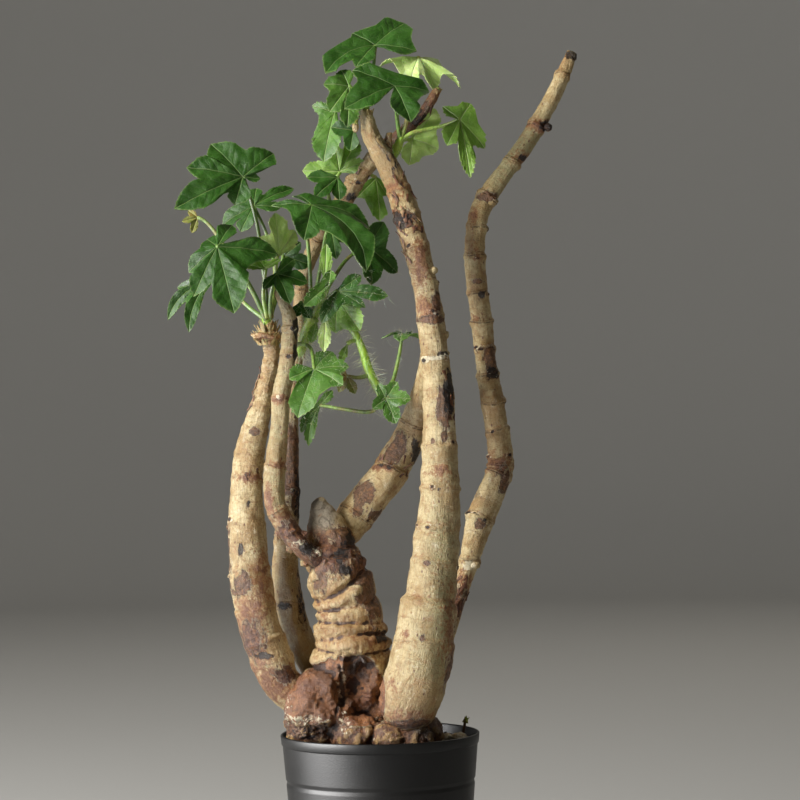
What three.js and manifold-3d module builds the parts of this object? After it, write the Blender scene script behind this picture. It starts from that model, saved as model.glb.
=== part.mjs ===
// A potted caudex plant, in millimetres, +Z up. The origin is the middle of the pot's underside.
// Seen from the front, along +Y, the plant's left side is -X and what is nearer the viewer has a lower Y.
import * as THREE from 'three';
import { mergeVertices } from 'three/addons/utils/BufferGeometryUtils.js';
import Module from 'manifold-3d';

const wasm = await Module();
wasm.setup();

// Driving dimensions of the pot
const RIM_RADIUS = 52.5;
const POT_HEIGHT = 100;
const WALL_LEAN = 0.084;
const WALL = 1.7;
const FLOOR = 2.5;
const LIP_ROUND = 0.7;
const BAND_HEIGHT = 5.5;
const BAND_STEP = 0.5;
const GROOVE_HEIGHT = 75;
const GROOVE_DEPTH = 0.5;
const FOOT_ROUND = 1.5;
const POT_SIDES = 32;
const DRAIN_HOLES = 6;
const DRAIN_RADIUS = 4.5;
const DRAIN_CIRCLE = 27;

// Driving dimensions of the soil and its grit
const SOIL_TOP = 94;
const SOIL_MOUND = 0.8;
const GRIT_COUNT = 18;
const GRIT_RADIUS = [1.4, 2.3];
const GRIT_SINK = 0.35;

// The foot of the caudex, an oval plug that stands in a plain hole in the soil
const FOOT = { x: -8, y: -6, halfWidth: 27, halfDepth: 15, bottom: 78 };

// Clearance between pieces that touch, blade thickness and stalk sizes
const GAP = 0.3;
const BLADE = 0.7;
const PETIOLE_RADIUS = [1.3, 0.95];
const PETIOLE_SIDES = 4;
const PETIOLE_STEP = 16;
const RING_REACH = 1.7;
const RING_HEIGHT = 0.6;
const WELD_DISTANCE = 1e-4;

// Form of a lobe: each side runs through [place along the midrib, share of the half width]
const TOOTHED_SIDE = [[0.5, 0.84], [0.68, 1], [0.84, 0.66]];
const PLAIN_SIDE = [[0.58, 0.92], [0.8, 0.84]];
const SINUS_PLACE = 0.5;
const SINUS_SLACK = 0.06;
const LOBE_ROOM = 0.9;
const BASE_PLACE = 0.1;
const HEEL_PLACE = 0.055;
const LOBE_ARCH = 0.06;
const LOBE_FOLD = 0.2;
const LARGE_LEAF = 31;

const finish = {
  pot: new THREE.MeshStandardMaterial({ color: 0x1d1d1f, roughness: 0.42, metalness: 0 }),
  soil: new THREE.MeshStandardMaterial({ color: 0x2c241d, roughness: 0.95, metalness: 0 }),
  pumice: new THREE.MeshStandardMaterial({ color: 0xd9cdb0, roughness: 0.9, metalness: 0 }),
  deadStalk: new THREE.MeshStandardMaterial({ color: 0x8a6038, roughness: 0.85, metalness: 0 }),
  bark: new THREE.MeshStandardMaterial({ color: 0xa99a74, roughness: 0.72, metalness: 0 }),
  shoot: new THREE.MeshStandardMaterial({ color: 0x8fb83e, roughness: 0.5, metalness: 0 }),
  leaf: new THREE.MeshStandardMaterial({ color: 0x2f5f2c, roughness: 0.42, metalness: 0 }),
  paleLeaf: new THREE.MeshStandardMaterial({ color: 0x9fbf73, roughness: 0.5, metalness: 0 }),
  dryLeaf: new THREE.MeshStandardMaterial({ color: 0x8a6f38, roughness: 0.75, metalness: 0 }),
};

// Seeded random numbers from 0 to 1
function seededRandom(seed) {
  let state = seed;
  return () => {
    state = (state * 1664525 + 1013904223) % 4294967296;
    return state / 4294967296;
  };
}

// Turns a closed geometry into a solid that can be joined and cut
function solidFrom(geometry) {
  geometry.deleteAttribute('normal');
  geometry.deleteAttribute('uv');
  const welded = mergeVertices(geometry, WELD_DISTANCE);
  const corners = welded.index.array;
  const kept = [];
  for (let i = 0; i < corners.length; i += 3) {
    const [a, b, c] = [corners[i], corners[i + 1], corners[i + 2]];
    if (a !== b && b !== c && c !== a) kept.push(a, b, c);
  }
  return new wasm.Manifold(new wasm.Mesh({
    numProp: 3,
    vertProperties: new Float32Array(welded.attributes.position.array),
    triVerts: new Uint32Array(kept),
  }));
}

// Turns a solid into a named mesh
function meshFrom(name, solid, material) {
  const { vertProperties, triVerts } = solid.getMesh();
  const geometry = new THREE.BufferGeometry();
  geometry.setAttribute('position', new THREE.BufferAttribute(vertProperties, 3));
  geometry.setIndex(new THREE.BufferAttribute(triVerts, 1));
  geometry.computeVertexNormals();
  const mesh = new THREE.Mesh(geometry, material);
  mesh.name = name;
  return mesh;
}

const joined = (solids) => solids.reduce((sum, solid) => sum.add(solid));

// The biggest of a solid's separate bodies, without the loose scraps of a cut
function largestBody(solid) {
  const bodies = solid.decompose();
  return bodies.reduce((best, body) => (body.volume() > best.volume() ? body : best));
}

// Shares of a route's length at which a stem has a ring of corners: even steps, and three at each scar ring
function stationsAlong(curve, step, rings) {
  const length = curve.getLength();
  const even = Math.max(2, Math.round(length / step));
  const shares = Array.from({ length: even + 1 }, (_, i) => i / even);
  const near = (share) => rings.some((ring) => Math.abs(ring - share) * length < 2 * RING_REACH);
  const kept = shares.filter((share) => share === 0 || share === 1 || !near(share));
  for (const ring of rings) {
    for (const offset of [-RING_REACH, 0, RING_REACH]) kept.push(ring + offset / length);
  }
  return kept.filter((share) => share >= 0 && share <= 1).sort((a, b) => a - b);
}

// The share of a route's length at which it first reaches a height
function shareAtHeight(curve, height) {
  const samples = 400;
  for (let i = 1; i <= samples; i++) {
    const [before, after] = [curve.getPointAt((i - 1) / samples).z, curve.getPointAt(i / samples).z];
    if ((before - height) * (after - height) <= 0) return i / samples;
  }
  return 1;
}

// A round stem along a route of [x, y, z, radius] points, closed at both ends.
// rings are the heights of its leaf-scar rings, tilt how far they lean, lumps how uneven the stem is,
// and grow an addition to its radius.
function stemSolid(stem) {
  const { route, sides, step, rings = [], ringHeight = RING_HEIGHT, tilt = 0, lumps = 0, grow = 0 } = stem;
  const curve = new THREE.CatmullRomCurve3(route.map(([x, y, z]) => new THREE.Vector3(x, y, z)));
  const ringShares = rings.map((height) => shareAtHeight(curve, height));
  const shares = stationsAlong(curve, step, ringShares);
  const length = curve.getLength();
  const radiusAt = (share, angle) => {
    const along = curve.getUtoTmapping(share) * (route.length - 1);
    const from = Math.min(Math.floor(along), route.length - 2);
    const plain = THREE.MathUtils.lerp(route[from][3], route[from + 1][3], along - from);
    const travelled = share * length;
    const bump = 1 + lumps * Math.sin(3 * angle + 0.11 * travelled) * Math.cos(0.07 * travelled + angle);
    const ridge = ringShares.reduce((sum, ring) => {
      const away = (share - ring) * length / RING_REACH;
      return sum + ringHeight * Math.exp(-away * away * 1.6);
    }, 0);
    return plain * bump + ridge + grow;
  };
  const tube = new THREE.CylinderGeometry(1, 1, 1, sides, shares.length - 1);
  const position = tube.attributes.position;
  const frames = [];
  const across = new THREE.Vector3(0.3, 1, 0.2);
  for (const share of shares) {
    const tangent = curve.getTangentAt(share);
    across.addScaledVector(tangent, -across.dot(tangent)).normalize();
    const other = new THREE.Vector3().crossVectors(tangent, across);
    frames.push({ centre: curve.getPointAt(share), tangent, across: across.clone(), other });
  }
  for (let i = 0; i < position.count; i++) {
    const row = Math.round((0.5 - position.getY(i)) * (shares.length - 1));
    const [u, v] = [position.getX(i), position.getZ(i)];
    const frame = frames[row];
    const angle = Math.atan2(v, u);
    const radius = radiusAt(shares[row], angle);
    const beyond = { 0: -grow, [shares.length - 1]: grow }[row] ?? 0;
    const lean = beyond + tilt * Math.hypot(u, v) * Math.sin(angle + 0.13 * shares[row] * length);
    const corner = frame.centre.clone()
      .addScaledVector(frame.across, u * radius)
      .addScaledVector(frame.other, v * radius)
      .addScaledVector(frame.tangent, lean);
    position.setXYZ(i, corner.x, corner.y, corner.z);
  }
  return solidFrom(tube);
}

// An uneven ball with half sizes along X, Y and Z
function lumpSolid([x, y, z], [halfX, halfY, halfZ], [around, up] = [8, 6], uneven = 0) {
  const ball = new THREE.SphereGeometry(1, around, up);
  const position = ball.attributes.position;
  for (let i = 0; i < position.count; i++) {
    const [u, v, w] = [position.getX(i), position.getY(i), position.getZ(i)];
    const ripple = Math.sin(5.1 * u + 1.3 * x) * Math.cos(4.3 * v - 0.7 * z) * Math.sin(4.7 * w + y);
    const swell = 1 + uneven * ripple;
    position.setXYZ(i, x + u * halfX * swell, y + v * halfY * swell, z + w * halfZ * swell);
  }
  return solidFrom(ball);
}

// The woody stems, each a route of [x, y, z, radius] points from its root to its tip
const stems = {
  left: {
    sides: 9, step: 15, lumps: 0.04, tilt: 0.7,
    rings: [188, 235, 262, 286, 303],
    route: [
      [-34, -2, 117, 10], [-44, -4, 121, 10.5], [-52, -6, 129, 10.5], [-57, -8, 143, 11.2],
      [-62, -8, 156, 11], [-65, -8, 172, 10.8], [-67, -7, 187, 10.5], [-68, -6, 203, 10],
      [-68.5, -5, 219, 8.9], [-68, -4, 235, 8.2], [-66, -3, 250, 7.8], [-62, -3, 266, 6.6],
      [-59, -3, 277, 5.6], [-55.5, -3, 291, 4.7], [-54, -4, 302, 4], [-54.5, -5, 308, 5],
      [-55, -5, 314, 4.2], [-55.5, -5, 316, 2.6],
    ],
  },
  elbow: {
    sides: 8, step: 12, lumps: 0.04, tilt: 0.5,
    rings: [219, 242, 277, 300, 314],
    route: [
      [-22, -8, 188, 4.6], [-34, -15, 195, 5.5], [-41, -18, 202, 5.7], [-48, -19, 212, 5.7],
      [-52.5, -19, 222, 5.7], [-53, -18, 234, 5.8], [-51.5, -17, 249, 5.1], [-49.5, -16, 266, 4.5],
      [-49, -15.5, 277, 4.6], [-46, -15, 292, 4.3], [-44, -14, 308, 4.2], [-43.5, -13, 317, 4.1],
      [-45, -12.5, 323, 3.4], [-48, -12, 328, 2.4], [-51, -12, 333, 1.2],
    ],
  },
  crossing: {
    sides: 7, step: 17, lumps: 0.04, tilt: 0.5,
    rings: [167, 201, 302, 392],
    route: [
      [-28, 6, 122, 8], [-38, 10, 141, 7.7], [-44, 14, 154, 7.7], [-47.5, 17, 170, 7.5],
      [-49.5, 20, 185, 7], [-49, 22, 198.5, 6.4], [-47.5, 25, 224.5, 5.8], [-46.5, 26, 260, 5],
      [-45.5, 26, 276, 4.5], [-43.5, 26, 292, 4], [-40.5, 26, 305.5, 3.9], [-39.5, 26, 330.5, 3.5],
      [-36.5, 26, 345.5, 3.6], [-30.5, 25, 359.5, 4], [-22.5, 23, 372.5, 4.5], [-14.5, 21, 383.5, 4.8],
      [-8, 19, 393.5, 4.7], [-1, 18, 402, 4.6], [6, 16, 409.5, 4.2], [14, 14, 415, 3.6],
      [22, 13, 421.5, 2.7], [28.5, 12, 429, 2.6], [32.5, 11, 434.5, 2.8], [36, 10, 440.5, 2.2],
    ],
  },
  stump: {
    sides: 13, step: 10, lumps: 0.06, tilt: 2.2,
    rings: [149.5, 159, 168.5, 179, 194], ringHeight: -1.7,
    route: [
      [-12, 0, 112, 12], [-12.5, -1, 122, 17.5], [-14, -3, 136, 21.5], [-14, -5, 149.5, 20.7],
      [-14.5, -5, 159, 18.8], [-16.5, -5, 169.5, 17.2], [-20, -5, 181, 16.4], [-23, -5, 192, 15.2],
      [-24, -5, 201, 13.2], [-26.5, -5, 210, 9.5], [-29.5, -5, 218, 4.7], [-32, -5, 223, 1.8],
    ],
  },
  slanting: {
    sides: 9, step: 13, lumps: 0.05, tilt: 1,
    rings: [215, 239, 262],
    route: [
      [-21, 4, 203, 6], [-17, 6, 206, 8.6], [-13, 8, 212, 9.6], [-7, 9, 219.5, 10.3],
      [-1, 10, 227, 10.1], [6, 11, 235, 9.8], [11, 12, 243.5, 9.5], [16.5, 12, 252.5, 9.2],
      [21.5, 11, 262, 8.7], [25.5, 8, 272.5, 8.2], [28.5, 4, 283, 7.6], [30.5, -1, 293, 6.8],
      [31, -6, 300, 6],
    ],
  },
  main: {
    sides: 11, step: 16, lumps: 0.04, tilt: 0.8,
    rings: [191, 229, 276, 319, 337, 355],
    route: [
      [12, -14, 97, 9], [12.5, -16, 100.5, 14], [14, -20, 111, 15.1], [16, -23, 120, 16],
      [20.5, -25, 134, 16.8], [23.5, -25, 146.5, 16.1], [25, -24, 161, 15], [27.5, -23, 173, 13],
      [30, -22, 192, 12], [32.5, -21, 212.5, 10.8], [33.5, -20, 233, 9.7], [33.5, -19, 254, 9],
      [33.5, -18, 275, 8.3], [32, -17, 296, 7.4], [30, -16, 317, 7.2], [28, -14, 332.5, 6.6],
      [24.5, -12, 348.5, 6.4], [20.5, -10, 364.5, 7], [17.5, -9, 376, 7], [14, -8, 386.5, 6],
      [9.5, -8, 397, 6], [5, -9, 405.5, 5.5], [0.5, -10, 413.5, 4.7], [-1.5, -11, 422, 4.2],
      [-2.5, -11, 426.5, 3],
    ],
  },
  right: {
    sides: 7, step: 17, lumps: 0.05, tilt: 0.6,
    rings: [190, 235, 243, 273, 302, 332, 383, 419],
    route: [
      [8, 3, 112, 9], [25, 6, 130, 8], [35, 9, 152, 6.1], [43, 11, 173, 5], [47.5, 12, 185, 4.8],
      [50, 13, 193.5, 5.7], [55, 15, 210.5, 7.2], [61.5, 17, 225.5, 7.4], [66, 18, 236.5, 6.7],
      [66.5, 19, 248, 6.4], [64.5, 19, 261, 6.4], [62.5, 19, 275, 6.3], [60, 19, 291, 5.7],
      [58.5, 19, 307, 5.7], [57, 19, 322.5, 5.7], [55, 19, 339, 5.6], [54.5, 19, 355, 5.3],
      [55.5, 19, 365.5, 5.5], [57.5, 20, 375.5, 5.3], [63, 21, 385.5, 5.1], [74, 23, 400, 4.8],
      [84, 26, 413.5, 4.8], [91, 28, 425, 4.9], [97.5, 30, 436, 4.4], [102.5, 32, 446.5, 4.2],
      [107.5, 34, 457.5, 3.5], [108.5, 35, 461, 2.2],
    ],
  },
  stub: {
    sides: 8, step: 6,
    route: [[8, -7, 398, 3], [9, -8, 408, 2.6], [9.5, -8, 414, 2], [9.8, -8, 415.5, 1]],
  },
  brokenRoot: {
    sides: 10, step: 7, lumps: 0.06,
    route: [[-28, -3, 112, 8], [-36, -12, 107.5, 6.2], [-41.5, -19, 105, 5.6]],
  },
};

// Rounded masses of the caudex: [centre, half sizes, facets]
const caudexMasses = [
  [[-34, -11, 119], [16.6, 16, 18], [12, 8]],
  [[-8, 4, 112], [27, 18, 22], [12, 8]],
  [[-33, -5, 101], [16, 14, 9], [10, 6]],
  [[-11, -19, 101], [12, 12, 10.5], [9, 6]],
  [[6, -22, 100], [13, 12, 9], [9, 6]],
  [[22, -13, 101.5], [11, 13, 9.5], [9, 6]],
];

// The arched hollow under the stump, which leaves a bark lip on its right
const HOLLOW = [[-10, -26, 123.5], [13, 13, 19.5], [12, 8]];

// Bud knobs and scars that stand out of the stems: [centre, half sizes]
const KNOB_FACETS = [5, 4];
const knobs = [
  [[-77.5, -6, 210], [1.8, 1.6, 1.6]],
  [[-77, -7, 184], [1.6, 1.6, 1.4]],
  [[-61.5, -9, 211], [1.6, 1.5, 1.8]],
  [[32, -15, 343], [2.2, 2.4, 2]],
  [[37.5, -17, 309], [2, 2.4, 2.4]],
  [[37.8, -17, 299.5], [1.8, 2.2, 1.6]],
  [[-7.8, -11, 419], [1.8, 1.8, 3]],
  [[64.5, 17, 381], [3, 3, 2.8]],
  [[95.5, 24, 420], [2.6, 3, 3]],
  [[60.5, 16, 290], [3, 2.6, 5.5]],
  [[52, 8.5, 187], [2.6, 2.4, 2.2]],
  [[109, 34.5, 459.5], [3.2, 3, 2.6]],
  [[-40.5, 23.5, 301.5], [3.2, 3.4, 2.6]],
  [[-56, -6, 310], [8, 6.5, 3]],
];

// Green shoots, each seated on a woody stem
const shoots = {
  left: { sides: 8, step: 5, route: [[-55.5, -5, 308, 2.2], [-56, -5, 318, 3.2], [-55.5, -5, 322, 2.6]] },
  arching: {
    sides: 8, step: 7,
    route: [
      [-40.5, 25, 301, 2.6], [-38, 14, 306, 3], [-33, 3, 319, 2.9], [-26, -2, 326, 2.4],
      [-18, -4, 322, 2.2], [-10.5, -4, 312, 2.1], [-6, -6, 302, 2.2], [-3, -8, 292, 2.3],
      [1, -9, 283, 2.3], [4, -10, 276.5, 1.8],
    ],
  },
  top: { sides: 8, step: 4, route: [[-2.5, -11, 422, 2], [-2.5, -11, 428, 2.6], [-2, -10.5, 431, 1.6]] },
  fork: {
    sides: 8, step: 4,
    route: [[6, 15, 405, 2.6], [12, 1, 406, 3.2], [15, -3, 411, 2.4], [16, -4, 413.5, 1.4]],
  },
};

// Leaves. A leaf's stalk starts inside its shoot or stem and ends at the junction, where the lobes start.
// A lobe is [x, y, z of its tip, half width, and a sideways bend if it has one, above 0 towards the next].
// Lobes are listed clockwise as seen from the leaf's upper face. sinus says how far out they are joined.
const leaves = {
  left_upper: {
    sinus: 0.6,
    stalk: [[-55, -6, 319], [-57.5, -7, 345], [-60, -8, 367], [-64, -10, 384]], junction: [-67, -17, 393],
    lobes: [
      [-71, -22, 378, 7], [-102, -30, 376, 8.4], [-96, -20, 398, 8.4], [-84, -9, 411, 9],
      [-51, -8, 406, 8.6], [-58, -14, 392, 2.6],
    ],
  },
  left_pale: {
    finish: 'paleLeaf',
    stalk: [[-55, -3, 320], [-52, 8, 345], [-57, 17, 366]], junction: [-63, 17, 380],
    lobes: [
      [-70, 13, 366, 5.4], [-80, 19, 370, 6.2], [-62, 24, 390, 4.6], [-42, 29, 390, 4.6],
      [-49, 18, 379, 4.4],
    ],
  },
  left_front: {
    sinus: 0.58,
    stalk: [[-56.5, -7, 319], [-64, -13, 336], [-73, -21, 350]], junction: [-80, -31, 356],
    lobes: [
      [-49, -21, 352, 7], [-71, -43, 321, 10.8], [-92, -38, 330, 6.4], [-95, -28, 343, 5.4],
      [-86, -21, 360, 5], [-73, -18, 368, 5.4],
    ],
  },
  left_hanging: {
    up: [0.1, -1, 0.2],
    stalk: [[-57, -5, 319], [-65, 1, 325], [-75, 8, 334]], junction: [-87, 13, 340],
    lobes: [[-98, 6, 313, 4, 0.1], [-110, 17, 320, 3.6, 0.14], [-105, 22, 337, 3]],
  },
  left_withered: {
    finish: 'dryLeaf',
    stalk: [[-57, -3.5, 320], [-67, 4, 340], [-79, 9, 359], [-85, 11, 368], [-90, 12, 373]],
    junction: [-93, 12, 374],
    lobes: [[-96, 11, 366, 2], [-101, 10, 372, 2], [-98, 14, 378, 1.8]],
  },
  left_folded: {
    finish: 'paleLeaf', sinus: 0.7,
    stalk: [[-54, -4, 320], [-52, -1, 338]], junction: [-50, -4, 353],
    lobes: [[-59, -10, 362, 5], [-51, -6, 375, 6.6], [-41, 2, 366, 5]],
  },
  left_small: {
    stalk: [[-54.5, -3, 320], [-50, 5, 335]], junction: [-47, 9, 353],
    lobes: [[-38, 8, 360, 3.6], [-33, 10, 348, 4.6]],
  },
  left_bud: {
    finish: 'paleLeaf',
    stalk: [[-56, -7.5, 320], [-57.5, -12, 332]], junction: [-56, -16, 345],
    lobes: [[-69, -18, 347, 2], [-61, -13, 352, 2.2], [-48, -14, 350, 1.8]],
  },
  left_inner: {
    stalk: [[-54, -7, 320], [-53.5, -14, 331]], junction: [-50, -18, 342],
    lobes: [[-41, -11, 350, 3.6], [-34, -16, 337, 4.6], [-43, -27, 326, 4.8], [-57, -24, 334, 2.8]],
  },
  middle_front: {
    sinus: 0.6,
    stalk: [[-33, 0, 320], [-33, -6, 345], [-34, -16, 369]], junction: [-31, -27, 377],
    lobes: [
      [-39, -16, 383, 5.4], [-1, -18, 365, 7.4, -0.1], [-3, -44, 341, 9.4, -0.16], [-35, -40, 358, 8],
      [-52, -25, 377, 2.8],
    ],
  },
  middle_dark: {
    stalk: [[-31, 0.5, 322], [-22, 9, 339], [-13, 20, 352]], junction: [-3, 23, 358],
    lobes: [[6, 22, 371, 6.8], [13, 32, 344, 5], [-1, 17, 337, 6.8]],
  },
  middle_small: {
    stalk: [[-33, 1, 321], [-28, 5, 345], [-24.5, 5, 364]], junction: [-22, 1, 369],
    lobes: [[-14, -3, 359, 4.4], [-19, -6, 350, 4.6]],
  },
  middle_rolled: {
    finish: 'paleLeaf',
    stalk: [[-31, 0, 322], [-27, -7, 330]], junction: [-25, -9, 338],
    lobes: [[-24, -9, 358, 3.2]],
  },
  middle_right: {
    up: [0, -1, 0.2],
    stalk: [[-28, -1, 326], [-22, -8, 331]], junction: [-18, -12, 333],
    lobes: [[-6, -9, 341, 3.8], [8, -13, 330, 4.6], [-4, -13.5, 324, 2.8], [-27, -18, 316, 4.2]],
  },
  middle_olive: {
    up: [0.2, -1, 0.2],
    stalk: [[-29, -1, 325], [-25, -9, 331]], junction: [-23, -15, 336],
    lobes: [[-36, -22, 325, 4.4], [-22, -12, 344, 3.2]],
  },
  middle_toothed: {
    finish: 'paleLeaf', sinus: 0.85,
    stalk: [[-21, -3, 324], [-20, -4, 328]], junction: [-18.5, -6, 329],
    lobes: [[-7, -10, 312, 7], [-20, -8, 311, 6]],
  },
  middle_narrow: {
    finish: 'paleLeaf',
    stalk: [[-28, -1, 325], [-26, -8, 323]], junction: [-25, -12, 320],
    lobes: [[-26, -16, 301, 3.4]],
  },
  middle_curled: {
    stalk: [[-35.5, 9, 313], [-37, 0, 323]], junction: [-38, -8, 327],
    lobes: [[-33, -10, 319, 3.2], [-41, -10, 320, 3.4]],
  },
  middle_pale: {
    finish: 'paleLeaf',
    stalk: [[-34, 5, 317], [-31, -3, 319]], junction: [-30, -6, 317],
    lobes: [[-33, -7, 306, 2.8]],
  },
  hanging_big: {
    finish: 'paleLeaf', sinus: 0.75,
    stalk: [[-41, 24, 304], [-40, 8, 306], [-33, -10, 303]], junction: [-31, -20, 292],
    lobes: [
      [-22, -8, 301, 5.4], [-13, -19, 293, 5], [-16, -31, 283, 5.4], [-39.5, -34, 267, 8.4],
      [-44, -25, 287, 5.8],
    ],
  },
  hanging_end: {
    stalk: [[3.5, -10, 277.5], [5, -13, 276.5]], junction: [6, -15, 276],
    lobes: [
      [12, -13, 285, 3.4], [19, -17, 276, 4.4], [11, -20, 263, 4.6], [-1, -19, 271, 3.4],
      [2, -14, 284, 2.8],
    ],
  },
  hanging_narrow: {
    up: [0, -1, 0],
    stalk: [[3.5, -10, 277.5], [-1, -12, 270], [-16, -10, 271]], junction: [-29, -7, 273],
    lobes: [[-35, -10, 252, 3, 0.08], [-39, -8, 259, 2.8, 0.08], [-22, -6, 281, 2.4]],
  },
  hanging_withered: {
    finish: 'dryLeaf', up: [0, -1, 0],
    stalk: [[-2, -8.5, 289], [-8, -9, 287.5]], junction: [-14, -10, 288],
    lobes: [[-10, -13, 279, 2.8], [-19, -9, 280, 2.2], [-19, -9, 292, 2]],
  },
  hanging_curled: {
    finish: 'paleLeaf',
    stalk: [[-8, -5, 307], [-11, -6, 307]], junction: [-14, -7, 305],
    lobes: [[-18, -9, 295, 2]],
  },
  hanging_back: {
    up: [0, 0.1, 1],
    stalk: [[4, -9.5, 278], [9, -5, 284], [13, -1, 298]], junction: [15, 0, 310],
    lobes: [[17, 12, 310, 4.4], [25, 4, 307, 3.8], [14, -10, 306, 4], [4, -4, 308, 3.8]],
  },
  top_crown: {
    sinus: 0.66,
    stalk: [[-2, -11, 428], [0, -4, 439], [2, 2, 452]], junction: [3, 2, 463],
    lobes: [
      [-7, -12, 450, 5.8], [-23, -12, 447, 10, 0.1], [-9, 8, 470, 4.6], [19, 17, 476, 11.5],
      [25, -1, 459, 6],
    ],
  },
  top_pale: {
    finish: 'paleLeaf', sinus: 0.7,
    stalk: [[-2.5, -11, 428], [-5, -11, 434]], junction: [-11, -13, 440],
    lobes: [[-12, -19, 418, 5.8], [-21, -20, 426, 6.2], [-24, -16, 441, 4.8], [-15, -9, 449, 4.8]],
  },
  top_front: {
    sinus: 0.7,
    stalk: [[15.5, -3.5, 412], [14, -10, 424]], junction: [13, -27, 438],
    lobes: [[-13, -41, 425, 8.6], [-9, -22, 447, 8.6], [31, -24, 435, 8], [21, -41, 418, 8.4]],
  },
  top_umbrella: {
    finish: 'paleLeaf', sinus: 0.66, up: [0.05, 0.1, 1],
    stalk: [[15.5, -3.5, 412], [20, -6, 425], [23, -4, 441]], junction: [26, 0, 456],
    lobes: [
      [32, 21, 453, 7], [48, 2, 440, 5.4], [33, -10, 438, 7], [21, -13, 439, 6.4], [4, -6, 450, 6],
    ],
  },
  top_right: {
    sinus: 0.66, up: [0.1, -1, 0.3],
    stalk: [[15.5, -3.5, 412], [22, -4, 416], [31, -3, 418], [40, -4, 420]], junction: [47, -8, 422],
    lobes: [
      [38, -6, 429, 3], [53, -2, 431, 5], [60, -6, 407, 5], [52, -13, 391, 4.4], [40, -15, 408, 6],
    ],
  },
  top_behind: {
    finish: 'paleLeaf', sinus: 0.7,
    stalk: [[14, -1, 409], [17, 6, 413]], junction: [22, 12, 414],
    lobes: [[35, 25, 431, 7], [36, 15, 409, 7.4], [20, 8, 400, 6.2]],
  },
  top_folded: {
    up: [-0.3, -1, 0],
    stalk: [[-3, -11, 428], [-10, 0, 430]], junction: [-19, 11, 429],
    lobes: [[-25, 5, 402, 8.2], [-31, 14, 433, 3.4]],
  },
  top_dark: {
    up: [0, -1, 0.2],
    stalk: [[-2.5, -10.5, 428], [-7, -2, 424]], junction: [-9, 1, 418],
    lobes: [[-11, -2, 407, 4.2], [-21, 2, 420, 4.4]],
  },
  top_olive: {
    finish: 'paleLeaf',
    stalk: [[-17, 21, 382], [-21, 18, 390]], junction: [-17, 18, 398],
    lobes: [[-37, 21, 399, 5.4], [-19, 15, 412, 4.6], [-7, 20, 415, 5.4], [-3, 15, 403, 4]],
  },
  top_curled: {
    stalk: [[-21, 22, 376], [-23, 10, 387]], junction: [-18, 0, 393],
    lobes: [[-17, -6, 381, 4.4], [-30, -9, 382, 4.6], [-34, -2, 393, 4.2]],
  },
  top_hidden: {
    finish: 'paleLeaf', sinus: 0.8,
    stalk: [[-6, 18, 396], [-5, 28, 399]], junction: [2, 33, 395],
    lobes: [[8, 36, 386, 4.6], [4, 30, 372, 6.6], [-8, 32, 385, 4.6]],
  },
};

const vector = ([x, y, z]) => new THREE.Vector3(x, y, z);

// The leaf's upper direction: given, or at right angles to its lobes, or towards the viewer for one lobe
function upperDirection(leaf, ways) {
  if (leaf.up) return vector(leaf.up).normalize();
  if (ways.length < 2) return new THREE.Vector3(0, -1, 0);
  const sum = new THREE.Vector3();
  for (let i = 1; i < ways.length; i++) sum.add(new THREE.Vector3().crossVectors(ways[i], ways[i - 1]));
  return sum.normalize();
}

// A lobe's own frame: along the midrib, up out of the blade, and sideways towards the next lobe
function lobeFrame(leaf, [x, y, z, halfWidth, bend = 0], up) {
  const along = new THREE.Vector3(x, y, z).sub(vector(leaf.junction));
  const length = along.length();
  along.normalize();
  const lobeUp = up.clone().addScaledVector(along, -up.dot(along)).normalize();
  const side = new THREE.Vector3().crossVectors(along, lobeUp);
  return { along, length, up: lobeUp, side, halfWidth, bend };
}

// A place on a lobe: share of the midrib, and distance from it sideways
function placeOnLobe(origin, lobe, share, sideways) {
  const bow = lobe.length * 4 * share * (1 - share);
  const rise = LOBE_ARCH * bow + LOBE_FOLD * Math.abs(sideways);
  return origin.clone()
    .addScaledVector(lobe.along, lobe.length * share)
    .addScaledVector(lobe.side, sideways + lobe.bend * bow)
    .addScaledVector(lobe.up, rise);
}

// A place beside a lobe's midrib, kept short of the middle between the lobe and its neighbour on that side
function beside(lobe, share, width) {
  const room = share * lobe.length * (width < 0 ? lobe.roomBefore : lobe.roomAfter);
  return [lobe, share, Math.sign(width) * Math.min(Math.abs(width) * lobe.halfWidth, room)];
}

// The blade's edge, once round: each column is a list of [lobe, share, sideways], of which it is the middle.
// Beside a sinus a lobe's side starts no further in than the sinus.
function edgeColumns(lobes, side, sinus) {
  const columns = [];
  lobes.forEach((lobe, index) => {
    const next = lobes[index + 1];
    const free = ([share], atSinus) => !atSinus || share > sinus - SINUS_SLACK;
    const before = side.filter((point) => free(point, index > 0));
    const after = side.filter((point) => free(point, next)).toReversed();
    for (const [share, width] of before) columns.push([beside(lobe, share, -width)]);
    columns.push([[lobe, 1, 0]]);
    for (const [share, width] of after) columns.push([beside(lobe, share, width)]);
    if (next) columns.push([beside(lobe, sinus, 0.5), beside(next, sinus, -0.5)]);
  });
  columns.push(lobes.map((lobe) => [lobe, -BASE_PLACE, 0]));
  return columns;
}

// Gives each lobe the room it has on either side, as sideways distance over distance out. The last lobe
// and the first are neighbours only where the lobes reach more than half way round.
function addRoom(lobes) {
  const angles = lobes.map((lobe, i) => lobe.along.angleTo(lobes[(i + 1) % lobes.length].along));
  const spread = angles.slice(0, -1).reduce((sum, angle) => sum + angle, 0);
  if (spread < Math.PI) angles[lobes.length - 1] = Math.PI;
  lobes.forEach((lobe, i) => {
    lobe.roomAfter = LOBE_ROOM * Math.tan(angles[i] / 2);
    lobe.roomBefore = LOBE_ROOM * Math.tan(angles.at(i - 1) / 2);
  });
}

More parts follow.
